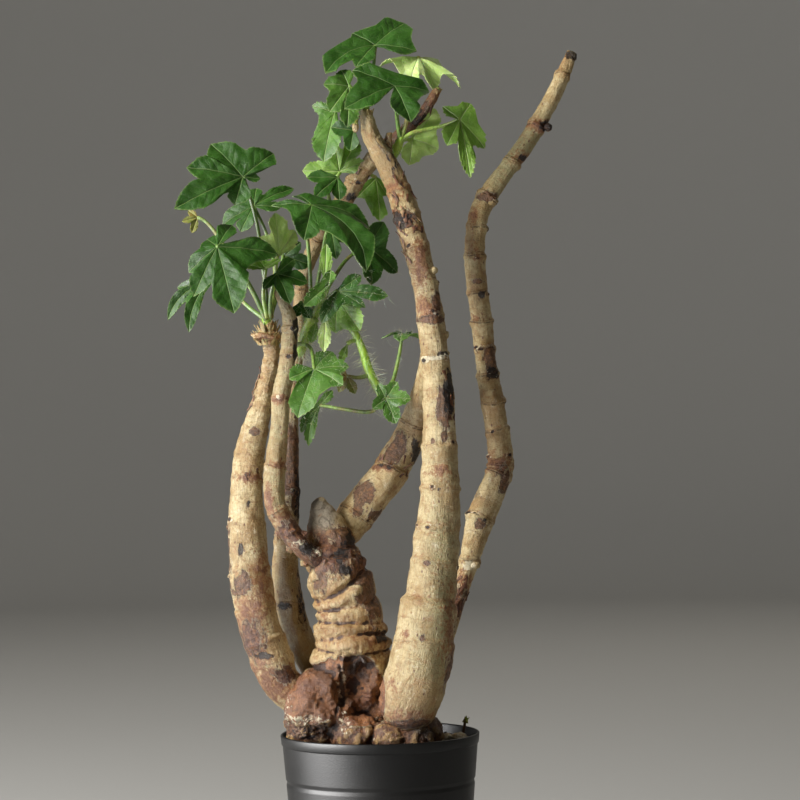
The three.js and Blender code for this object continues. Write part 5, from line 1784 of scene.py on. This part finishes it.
class Skin:
    """Random places on the surface of finished pieces."""

    def __init__(self, pieces: Sequence[Piece]) -> None:
        """Gathers the triangles of the pieces.

        Args:
            pieces: the pieces to draw places on.
        """
        corners = []
        for piece in pieces:
            piece.data.calc_loop_triangles()
            index = Mesh.read(piece.data.loop_triangles, "vertices", 3, int)
            corners.append((Mesh.places(piece) / MM)[index])
        self.corners = np.concatenate(corners)
        cross = np.cross(self.corners[:, 1] - self.corners[:, 0], self.corners[:, 2] - self.corners[:, 0])
        self.area = np.linalg.norm(cross, axis=1)
        self.normals = cross / np.maximum(self.area, 1e-12)[:, None]

    def draw(self, rng: Dice, count: int) -> tuple[Array, Array]:
        """Draws places.

        Args:
            rng: draws them.
            count: how many.

        Returns:
            The places in millimetres and the surface's direction there.
        """
        chosen = rng.choice(len(self.area), count, p=self.area / self.area.sum())
        a, b = np.sqrt(rng.random(count)), rng.random(count)
        share = np.column_stack([1 - a, a * (1 - b), a * b])
        return np.einsum("ij,ijk->ik", share, self.corners[chosen]), self.normals[chosen]


@dataclass
class Hairs:
    """Fine white hairs on the young growth, each a thin three-sided cone that droops a little."""

    name: str
    count: int
    length: Span
    radius: float = 0.07
    droop: float = 0.25
    within: Sequence[Span] = ((-42, 24), (262, 345))

    def hairy(self, places: Array) -> Array:
        """Finds the places that carry hairs.

        Args:
            places: places in millimetres.

        Returns:
            Whether each lies within the range across and the range of heights.
        """
        (left, right), (low, high) = self.within
        x, _, z = places.T
        return (x > left) & (x < right) & (z > low) & (z < high)

    def build(self, skin: Skin, coat: Material, seed: int) -> None:
        """Grows the hairs as one piece.

        Args:
            skin: where they grow.
            coat: their material.
            seed: the seed of the draw.
        """
        rng = np.random.default_rng(seed)
        places, normals = skin.draw(rng, self.count * 12)
        kept = np.nonzero(self.hairy(places))[0][:self.count]
        places, normals, count = places[kept], normals[kept], len(kept)
        way = normals + rng.normal(0, 0.45, (count, 3))
        way /= np.linalg.norm(way, axis=1)[:, None]
        length = rng.uniform(*self.length, count)[:, None]
        fall = np.array([0, 0, -self.droop]) + rng.normal(0, 0.18, (count, 3))
        side = np.cross(way, rng.normal(size=(count, 3)))
        side /= np.linalg.norm(side, axis=1)[:, None]
        other = np.cross(way, side)
        rows = []
        for share, thick in ((-0.05, 1.0), (0.35, 0.8), (0.7, 0.5)):
            middle = places + way * length * share + fall * length * share**2
            for angle in (0, 2.094, 4.189):
                rows.append(middle + (side * math.cos(angle) + other * math.sin(angle)) * self.radius * thick)
        rows.append(places + way * length + fall * length)
        one = ((0, 1, 4, 3), (1, 2, 5, 4), (2, 0, 3, 5), (3, 4, 7, 6), (4, 5, 8, 7), (5, 3, 6, 8),
               (6, 7, 9), (7, 8, 9), (8, 6, 9), (2, 1, 0))
        polygons = [tuple(len(rows) * hair + corner for corner in face)
                    for hair in range(count) for face in one]
        seat(Mesh.raw(self.name, np.stack(rows, axis=1).reshape(-1, 3), polygons), "green_shoot", coat=coat)


@dataclass(frozen=True)
class HairFinish:
    """Translucent white hairs."""

    white: str = "eef0de"
    green: str = "d3dcae"

    def material(self) -> Material:
        """Builds the hairs' coat.

        Returns:
            The material.
        """
        p = Paint("leaf_hairs")
        return p.coat(p.blend(p.cloud(p.place(), 60, 2), self.white, self.green), 0.35,
                      Subsurface_Weight=0.2, Subsurface_Scale=0.0005)


@dataclass(frozen=True)
class PlasticFinish:
    """Satin black moulded plastic with dust and fine scuffs."""

    black: str = "070708"
    dust: str = "322f2b"

    def material(self) -> Material:
        """Builds the pot's plastic.

        Returns:
            The material.
        """
        p = Paint("pot_plastic")
        where = p.place()
        cloud = p.cloud(where, 28, 4, 0.6)
        scuffs = p.ease(p.cloud(p.place((1, 1, 9)), 55, 5, 0.7), 0.62, 0.74, 0, 0.3)
        specks = p.ease(p.cells(where, 210), 0.07, 0.03) * p.ease(cloud, 0.5, 0.6)
        colour = p.layers(self.black, (specks * 0.7 + scuffs * 0.22, self.dust),
                          (p.ease(cloud, 0.45, 0.75, 0, 0.12), self.dust))
        bump = p.relief(p.cloud(where, 1500, 2) + scuffs, 0.06)
        rough = p.ease(cloud, 0.3, 0.7, 0.4, 0.46) + scuffs * 0.4
        return p.coat(colour, rough, bump, Specular_IOR_Level=0.34)


@dataclass
class Pot:
    """The thin-walled round nursery pot, turned to its profile."""

    rim: float = 52.5
    height: float = 100
    lean: float = 0.084
    wall: float = 1.7
    floor: float = 2.5
    lip: float = 0.7
    band: float = 5.5
    step: float = 0.5
    groove: float = 75
    foot: float = 1.5
    holes: int = 6
    hole_radius: float = 4.5
    hole_circle: float = 27
    around: int = 144

    def outer(self, height: float) -> float:
        """Gives the wall's outer radius at a height."""
        return self.rim - (self.height - height) * self.lean

    def profile(self) -> Rows:
        """Draws the wall.

        Returns:
            Radius and height from the middle of the underside, round the lip, to the middle of the floor.
        """
        foot = self.outer(0) - self.foot
        rows = [(0.0, 0.0), (foot, 0.0)]
        rows += [(foot + self.foot * math.sin(turn), self.foot * (1 - math.cos(turn)))
                 for turn in np.linspace(0.3, math.pi / 2, 4)]
        rows += [(self.outer(height) - self.step, height)
                 for height in (20, 40, 60, self.groove - 2.4, self.groove - 1.6)]
        rows += [(self.outer(self.groove) - 2 * self.step, self.groove + aside) for aside in (-0.4, 0.4)]
        below = self.height - self.band
        rows += [(self.outer(height) - self.step, height)
                 for height in (self.groove + 1.6, self.groove + 2.4, 86, below - 0.1)]
        rows += [(self.outer(below) - 0.12, below + 0.2), (self.outer(below + 1), below + 0.6)]
        middle, top = self.rim - self.lip, self.height - self.lip
        rows += [(middle + self.lip * math.cos(turn), top + self.lip * math.sin(turn))
                 for turn in np.linspace(0, math.pi, 9)]
        rows.append((self.rim - self.wall, self.height - 2.5))
        rows += [(self.outer(height) - self.wall, height) for height in (80, 50, 20, self.floor + 1)]
        return [*rows, (self.outer(self.floor) - self.wall - 0.8, self.floor), (0.0, self.floor)]

    def build(self) -> None:
        """Turns the profile and drills the drain holes."""
        piece = Mesh.rolled("fine_pot", Mesh.turned(self.profile(), self.around))
        Mesh.outward(piece)
        drills = []
        for turn in (np.arange(self.holes) + 0.5) * 2 * math.pi / self.holes:
            bpy.ops.mesh.primitive_cylinder_add(
                vertices=40, radius=self.hole_radius * MM, depth=12 * MM,
                location=(self.hole_circle * MM * math.cos(turn), self.hole_circle * MM * math.sin(turn), 0))
            drills.append(bpy.context.object)
        Mesh.cut(piece, Mesh.join("drills", drills))
        seat(piece, "pot_plastic", "pot", coat=PlasticFinish().material(), angle=35)


@dataclass(frozen=True)
class SoilFinish:
    """Dark crumbly potting soil."""

    name: str
    dark: str = "17110c"
    brown: str = "3a2a1c"
    light: str = "6b5137"

    def material(self) -> Material:
        """Builds the soil, which reads a value for each grain from the mesh.

        Returns:
            The material.
        """
        p = Paint(self.name)
        where = p.place()
        fine = p.cloud(where, 800, 5, 0.7)
        colour = p.layers(self.dark, (p.ease(p.data("grain_tone"), 0.15, 0.85), self.brown),
                          (p.ease(fine, 0.5, 0.78, 0, 0.7), self.light))
        bump = p.relief(fine + p.cells(where, 700), 0.5)
        return p.coat(colour, p.ease(fine, 0.3, 0.7, 0.75, 0.98), bump, Specular_IOR_Level=0.25)


# Stones and crumbs: rows of x, y and radius
PUMICE = ((35, 3, 2.6), (42, -1, 3.1), (39, 8, 2))
CRUMBS = ((31, -8, 1.5), (46, 4, 1.3), (27.5, -15, 1.1), (44.5, -8, 1.2))


@dataclass
class Soil:
    """The soil's bed, with loose grains all over its top."""

    top: float = 94.0
    mound: float = 0.8
    play: float = 0.35
    around: int = 160
    rings: int = 44
    count: int = 900
    spread: float = 48.5
    edge: float = 49.3
    caudex: tuple[Span, Span] = ((-5, -7), (36, 24))
    pot: Pot = field(default_factory=Pot)

    def reach(self, height: float) -> float:
        """Gives the radius that fits the pot's inside at a height."""
        return self.pot.outer(height) - self.pot.wall - self.play

    def build(self) -> None:
        """Makes the bed and the grains."""
        rows = [(0.0, 3.0)] + [(self.reach(h) - (1 if h < 4 else 0), h) for h in (3.0, 30, 60, 88, 92.5)]
        top = self.reach(93.2) - 0.2
        rows += [(top * share, 93.4 + self.mound * math.sin(0.5 * math.pi * (1 - share) ** 0.5) * 1.2)
                 for share in np.linspace(1, 0, self.rings)]
        corners = Mesh.turned(rows, self.around)
        for row in range(len(rows) - self.rings + 1, len(rows) - 1):
            for column in range(self.around):
                place = Vector(corners[row, column])
                corners[row, column, 2] += 0.75 * noise.noise(place * 0.35) + 0.5 * noise.noise(place * 1.1)
        corners[:, -1] = corners[:, 0]
        bed = Mesh.rolled("soil_bed", corners, carried={"grain_tone": np.full(corners.shape[:2], 0.35)})
        Mesh.outward(bed)
        material = SoilFinish("soil").material()
        seat(bed, "soil", "soil", coat=material)
        seat(self.grains(), "soil", coat=material, angle=50)

    def grains(self) -> Piece:
        """Scatters uneven grains over the bed, clear of the caudex and the pumice.

        Returns:
            One piece with all the grains.
        """
        rng = np.random.default_rng(11)
        Mesh.clear_selection()
        bpy.ops.mesh.primitive_ico_sphere_add(subdivisions=2, radius=1)
        seed = bpy.context.object
        ball = Mesh.places(seed)
        faces = Mesh.read(seed.data.polygons, "vertices", 3, int)
        bpy.data.objects.remove(seed)
        corners, polygons, tones = [], [], []
        (middle_x, middle_y), (half_x, half_y) = self.caudex
        while len(corners) < self.count:
            angle, reach = rng.uniform(0, 2 * np.pi), self.spread * math.sqrt(rng.random())
            size = float(np.clip(rng.lognormal(-0.15, 0.45), 0.45, 2.3))
            x, y = reach * math.cos(angle), reach * math.sin(angle)
            under = math.hypot((x - middle_x) / half_x, (y - middle_y) / half_y) < 1
            at_pumice = any(math.hypot(x - px, y - py) < pr + size for px, py, pr in PUMICE)
            if under or at_pumice or math.hypot(x, y) + size > self.edge:
                continue
            shape = ball * rng.uniform(0.65, 1.2, 3) * size
            shape = shape * (1 + 0.28 * np.sin(ball @ rng.normal(0, 3.2, (3, 1)) + rng.uniform(0, 6)))
            turn = np.array(Matrix.Rotation(rng.uniform(0, 6), 3, Vector(rng.normal(size=3))))
            corners.append(shape @ turn.T + (x, y, self.top + 0.15 + 0.3 * size))
            polygons.append(faces + len(ball) * len(polygons))
            tones.append(np.full(len(ball), rng.random() ** 1.4))
        piece = Mesh.raw("soil_grains", np.concatenate(corners), np.concatenate(polygons).tolist())
        Mesh.carry(piece, "grain_tone", np.concatenate(tones))
        return piece


@dataclass(frozen=True)
class PumiceFinish:
    """Porous cream stone."""

    cream: str = "fff8e6"
    second: str = "f0e2c2"
    shade: str = "b09c78"

    def material(self) -> Material:
        """Builds the stone.

        Returns:
            The material.
        """
        p = Paint("pumice")
        where = p.place()
        pores = p.ease(p.cells(where, 1500), 0.32, 0.12)
        cloud = p.cloud(where, 420, 4, 0.6)
        colour = p.layers(self.cream, (p.ease(cloud, 0.4, 0.7), self.second), (pores * 0.75, self.shade))
        return p.coat(colour, 0.92, p.relief(cloud - pores, 0.4), Specular_IOR_Level=0.3)


@dataclass
class Pumice:
    """Pale pumice stones on the soil."""

    ground: float = 95.0

    def stone(self, name: str, x: float, y: float, radius: float) -> Piece:
        """Makes one rough stone.

        Args:
            name: its name.
            x: its place across.
            y: its place in depth.
            radius: its size.

        Returns:
            The stone.
        """
        Mesh.clear_selection()
        bpy.ops.mesh.primitive_ico_sphere_add(subdivisions=4, radius=1)
        piece = Mesh.named(name)
        ball = Mesh.places(piece)
        facet = [1 + 0.24 * noise.noise(Vector(p) * 1.3 + Vector((x, y, 0)))
                 + 0.08 * noise.noise(Vector(p) * 4 + Vector((y, x, 0))) for p in ball]
        ball = ball * np.array(facet)[:, None] * (1.2, 0.95, 0.78) * radius
        Mesh.set_places(piece, (ball + (x, y, self.ground + radius * 0.72)) * MM)
        return piece

    def build(self) -> None:
        """Makes the three large stones and the small crumbs."""
        material = PumiceFinish().material()
        for i, place in enumerate(PUMICE, 1):
            stone = self.stone(f"fine_pumice_{i}", *place)
            seat(stone, "pumice", f"pumice_grain_{i}", coat=material, angle=60)
        crumbs = Mesh.join("pumice_crumbs", [self.stone("crumb", *place) for place in CRUMBS])
        seat(crumbs, "pumice", coat=material, angle=60)


@dataclass
class DryStalk:
    """The dry leaf stalk that stands in the soil, with its knob."""

    finish: StalkFinish = StalkFinish("dead_stalk", "5a4028", "33221a", "6e5236", 0.75)
    route: Rows = ((43.5, 6, 91, 0.9), (44, 6, 98, 0.8), (45, 6, 103.5, 0.7), (45.2, 6, 104.5, 1.3),
                   (45.4, 6, 105.6, 0.8))

    def build(self) -> None:
        """Makes the stalk."""
        spine = Spine.along(self.route, 0.5, soften=0.6)
        angle = np.linspace(0, 2 * np.pi, 20, endpoint=False)[None]
        radii = spine.radius[:, None] * (1 + 0.1 * np.sin(2 * angle + spine.travel[:, None]))
        piece = Mesh.rolled("fine_dry_stalk", spine.skin(radii))
        seat(piece, "dead_stalk", "dry_stalk", coat=self.finish.material())


class Strip:
    """A thin strip of bark or a dry scale, as rows of three corners."""

    @staticmethod
    def build(name: str, middles: Array, halves: Array, across: Array, sink: Array) -> Piece:
        """Makes the strip.

        Args:
            name: the mesh's name.
            middles: the middle of each row.
            halves: half the width of each row.
            across: the direction of the width.
            sink: how far the edges lie below the middle, in all rows or in each.

        Returns:
            The open mesh, to be joined with others and given its thickness.
        """
        corners = np.stack([middles + across * halves * side - sink * side**2 for side in (-1, 0, 1)], axis=1)
        return Mesh.rolled(name, corners, closed=False)

    @staticmethod
    def finish(name: str, parts: list[Piece], thickness: float, coat: StalkFinish, slot: str) -> None:
        """Joins strips of one colour into a piece.

        Args:
            name: its name.
            parts: the strips.
            thickness: how thick they are.
            coat: their finish.
            slot: the record's name for it.
        """
        piece = Mesh.join(name, parts)
        Mesh.modify(piece, "SOLIDIFY", thickness=thickness * MM, offset=0)
        seat(piece, slot, coat=coat.material(), angle=50)


@dataclass(frozen=True)
class Flake:
    """Where loose bark hangs on a stem: its stem, height, which way it faces, and how much there is."""

    stem: str
    low: float
    high: float
    facing: Span
    count: int
    length: Span
    lift: float = 1.2


FLAKES = (
    Flake("main", 362, 376, (-1.3, 1.0), 18, (2, 4.5), 1.4),
    Flake("main", 348, 360, (-1.3, -0.8), 3, (5, 9), 1.4),
    Flake("left", 268, 300, (-1.5, -0.8), 7, (3, 7), 0.9),
    Flake("left", 232, 240, (-1.2, 1.0), 4, (2, 4), 0.9),
    Flake("stump", 186, 204, (-1.0, 1.3), 9, (2, 4), 0.8),
    Flake("slanting", 236, 246, (-1.2, 1.2), 9, (3, 6), 1.0),
    Flake("right", 160, 180, (-1.3, 1.3), 12, (3, 8), 0.9),
    Flake("main", 262, 290, (0.5, 1.4), 7, (2, 6), 0.6),
    Flake("crossing", 396, 432, (-1.5, 1.5), 14, (3, 6), 1.0),
    Flake("main", 376, 392, (-1.4, 1.4), 9, (3, 6), 1.2),
)


@dataclass
class LooseBark:
    """Thin shreds of bark that curl off the stems."""

    thickness: float = 0.3
    finish: StalkFinish = StalkFinish("loose_bark", "74492c", "3a2318", "b59a70", 0.7)

    def build(self) -> None:
        """Makes all the shreds as one piece."""
        rng = np.random.default_rng(23)
        spines = {stem.name: stem.spine for stem in WOODY_STEMS}
        parts = []
        for flake in FLAKES:
            spine = spines[flake.stem]
            fit = np.nonzero((spine.centre[:, 2] > flake.low) & (spine.centre[:, 2] < flake.high))[0]
            for _ in range(flake.count):
                parts.append(self.shred(spine, int(rng.choice(fit)), flake, rng))
        Strip.finish("loose_bark", parts, self.thickness, self.finish, "bark")

    def shred(self, spine: Spine, sample: int, flake: Flake, rng: Dice) -> Piece:
        """Makes one shred, fixed at one end and lifted at the other.

        Args:
            spine: the spine of its stem.
            sample: the sample of the spine where it hangs.
            flake: its sizes.
            rng: draws the rest.

        Returns:
            The shred.
        """
        turn = rng.uniform(*flake.facing)
        facing = np.array([math.sin(turn), -math.cos(turn), 0.0])
        ahead, radius = spine.ahead[sample], spine.radius[sample]
        facing -= ahead * facing.dot(ahead)
        facing /= np.linalg.norm(facing)
        across = np.cross(ahead, facing)
        length, width = rng.uniform(*flake.length), rng.uniform(0.6, 1.9)
        way = ahead * rng.choice([-1, 1]) + across * rng.uniform(-0.5, 0.5)
        way /= np.linalg.norm(way)
        lift = flake.lift * rng.uniform(0.4, 1.3)
        share = np.linspace(0, 1, 9)[:, None]
        halves = width / 2 * (1 - share**3) * (1 + 0.3 * np.sin(9 * share + turn)) + 0.08
        out = radius + 0.25 + lift * share**2
        middles = spine.centre[sample] + facing * out + way * length * (share - 0.5)
        return Strip.build("shred", middles, halves, across, facing * radius * 0.1 * halves / 2)


@dataclass
class Scales:
    """Dry scales in rings: the straw collar under the left leaves and the buds at the twig tips."""

    thickness: float = 0.25
    collar: Rows = ((306, 5.6, 14, 3.4), (309, 5.8, 15, 3.2), (312, 5.0, 13, 2.4), (314.5, 4.0, 11, 1.2))
    buds: Sequence[tuple[Point, float, Point]] = (
        ((45.3, 6, 104.4), 0.7, (0.3, -0.1, 0.9)), ((35.5, 10.2, 439.5), 1.9, (0.5, -0.1, 0.8)),
        ((109, 34.5, 459), 2.2, (0.5, 0.1, 0.8)), ((-7.8, -11, 420.5), 1.2, (-0.1, 0, 1)),
        ((12, 0, 408), 2.8, (0.4, -0.4, 0.8)), ((-40, 22, 303), 2.6, (0.1, -0.8, 0.4)))
    straw: StalkFinish = StalkFinish("straw_scale", "b8a46c", "82703f", "6e4a2c", 0.7)
    green: StalkFinish = StalkFinish("bud_scale", "a9b24a", "6f7a30", "7d4c36", 0.5)

    def ring(self, centre: Point, radius: float, size: Span, count: int, lean: float, up: Point,
             rng: Dice) -> list[Piece]:
        """Makes one ring of pointed scales.

        Args:
            centre: the ring's middle.
            radius: the ring's radius.
            size: the least and the greatest length of a scale.
            count: how many scales there are.
            lean: how far their tips lean out.
            up: the ring's axis.
            rng: draws the rest.

        Returns:
            The scales.
        """
        axis = np.array(up, float) / np.linalg.norm(up)
        first = np.cross(axis, (0.3, 1.0, 0.1))
        first /= np.linalg.norm(first)
        second = np.cross(axis, first)
        share = np.linspace(0, 1, 6)[:, None]
        parts = []
        for i in range(count):
            angle = 2 * math.pi * (i + rng.uniform(-0.3, 0.3)) / count
            outward = first * math.cos(angle) + second * math.sin(angle)
            length, width = rng.uniform(*size), rng.uniform(1.6, 3.6)
            tip = lean * rng.uniform(0.2, 1.4)
            halves = width / 2 * (1 - share) ** 0.7 + 0.06
            middles = np.array(centre) + outward * (radius + tip * share**1.5) + axis * length * (share - 0.2)
            parts.append(Strip.build("scale", middles, halves, np.cross(axis, outward), outward * 0.3))
        return parts

    def build(self) -> None:
        """Makes the straw collar and the buds."""
        rng = np.random.default_rng(31)
        straw = []
        for height, radius, count, lean in self.collar:
            straw += self.ring((-55.5, -5, height), radius, (3, 5.5), count, lean, (0, 0, 1), rng)
        straw += self.ring((-2.5, -11, 425), 3.6, (2.5, 4.5), 9, 0.9, (0, 0, 1), rng)
        Strip.finish("straw_scales", straw, self.thickness, self.straw, "bark")
        buds = []
        for centre, radius, up in self.buds:
            buds += self.ring(centre, radius, (2.2, 3.8), 6, 0.6, up, rng)
        Strip.finish("bud_scales", buds, self.thickness, self.green, "green_shoot")


@dataclass
class Studio:
    """The floor and backdrop, the lights, the sky and the camera."""

    flat: float = 2.4
    bend: float = 1.2
    height: float = 3.6
    grey: str = "b9b9b7"
    shade: str = "a9a9a7"
    sky: Tone = (1.0, 0.82, 0.6, 1)
    glow: float = 0.04

    def floor(self) -> None:
        """Makes a pale floor that curves up into a wall all round, far outside the camera's path."""
        rows = [(0.0, 0.0), (0.3, 0.0), (1.0, 0.0), (self.flat, 0.0)]
        rows += [(self.flat + self.bend * math.sin(turn), self.bend * (1 - math.cos(turn)))
                 for turn in np.linspace(0.1, math.pi / 2, 12)]
        rows.append((self.flat + self.bend, self.height))
        piece = Mesh.rolled("studio_floor", Mesh.turned(np.array(rows) / MM - (0, 0.02), 96, -1))
        Mesh.smooth(piece)
        p = Paint("studio_paper")
        share = p.ease(p.cloud(p.place(), 1.4, 2), 0.3, 0.7, 0, 0.06)
        Mesh.dress(piece, p.coat(p.blend(share, self.grey, self.shade), 0.9))

    def light(self, name: str, place: Point, aim: Point, size: Span, power: float, colour: Point) -> Piece:
        """Adds a soft area light that no camera sees.

        Args:
            name: its name.
            place: where it stands, in metres.
            aim: the point that it faces.
            size: its width and height.
            power: its power.
            colour: its colour.

        Returns:
            The lamp.
        """
        data = bpy.data.lights.new(name, "AREA")
        data.shape, data.energy, data.color = "RECTANGLE", power, colour
        data.size, data.size_y = size
        lamp = bpy.data.objects.new(name, data)
        bpy.context.scene.collection.objects.link(lamp)
        lamp.location = place
        lamp.rotation_euler = (Vector(aim) - Vector(place)).to_track_quat("-Z", "Y").to_euler()
        lamp.visible_camera = False
        return lamp

    def build(self) -> None:
        """Sets the stage."""
        scene = bpy.context.scene
        self.floor()
        scene.world = bpy.data.worlds.new("sky")
        scene.world.use_nodes = True
        background = scene.world.node_tree.nodes["Background"]
        background.inputs["Color"].default_value = self.sky
        background.inputs["Strength"].default_value = self.glow
        scene.view_settings.view_transform = "Standard"
        self.light("key", (-1.4, -0.9, 1.05), (0, 0, 0.27), (0.5, 1.0), 60, (1.0, 0.98, 0.94))
        sheen = self.light("sheen", (-0.85, -0.36, 0.12), (0, 0, 0.06), (0.86, 0.22), 37, (1.0, 0.99, 0.98))
        sheen.visible_diffuse = False
        self.light("fill", (1.5, -1.5, 0.8), (0, 0, 0.26), (1.4, 1.4), 0.7, (1.0, 0.82, 0.58))
        self.light("back", (0.7, 1.6, 1.5), (0, 0, 0.3), (1.2, 1.2), 4, (1.0, 0.92, 0.78))
        data = bpy.data.cameras.new("camera")
        data.lens, data.sensor_width = 128, 36
        camera = bpy.data.objects.new("camera", data)
        scene.collection.objects.link(camera)
        turn = Matrix.Rotation(math.radians(90), 4, "X") @ Matrix.Rotation(math.radians(-0.9), 4, "Z")
        camera.matrix_world = Matrix.Translation((0.0133, -1.502, 0.2754)) @ turn
        scene.camera = camera


def main() -> None:
    """Builds the plant, its pot and the studio, in that order."""
    logging.basicConfig(level=logging.INFO, format="%(name)s %(message)s")
    Pot().build()
    Soil().build()
    Pumice().build()
    DryStalk().build()
    Wood().build()
    LooseBark().build()
    Scales().build()
    shoots = Shoots().build()
    finishes = {tint: tuple(finish.material() for finish in group) for tint, group in LEAF_FINISHES.items()}
    leaves = {leaf.name: leaf.build(finishes, seed) for seed, leaf in enumerate(LEAVES)}
    coat = HairFinish().material()
    young_leaves = [piece for name, piece in leaves.items() if name.startswith(("hanging", "middle"))]
    Hairs("shoot_hairs", 900, (3.5, 9.5)).build(Skin([shoots[1]]), coat, 5)
    Hairs("leaf_hairs", 1800, (1.5, 5.5), 0.055).build(Skin(young_leaves), coat, 6)
    other_shoots = Skin([shoots[0], shoots[2], shoots[3]])
    everywhere = ((-200, 200), (0, 500))
    Hairs("stalk_hairs", 700, (0.8, 2.5), 0.05, within=everywhere).build(other_shoots, coat, 9)
    Studio().build()


if __name__ == "__main__":
    main()
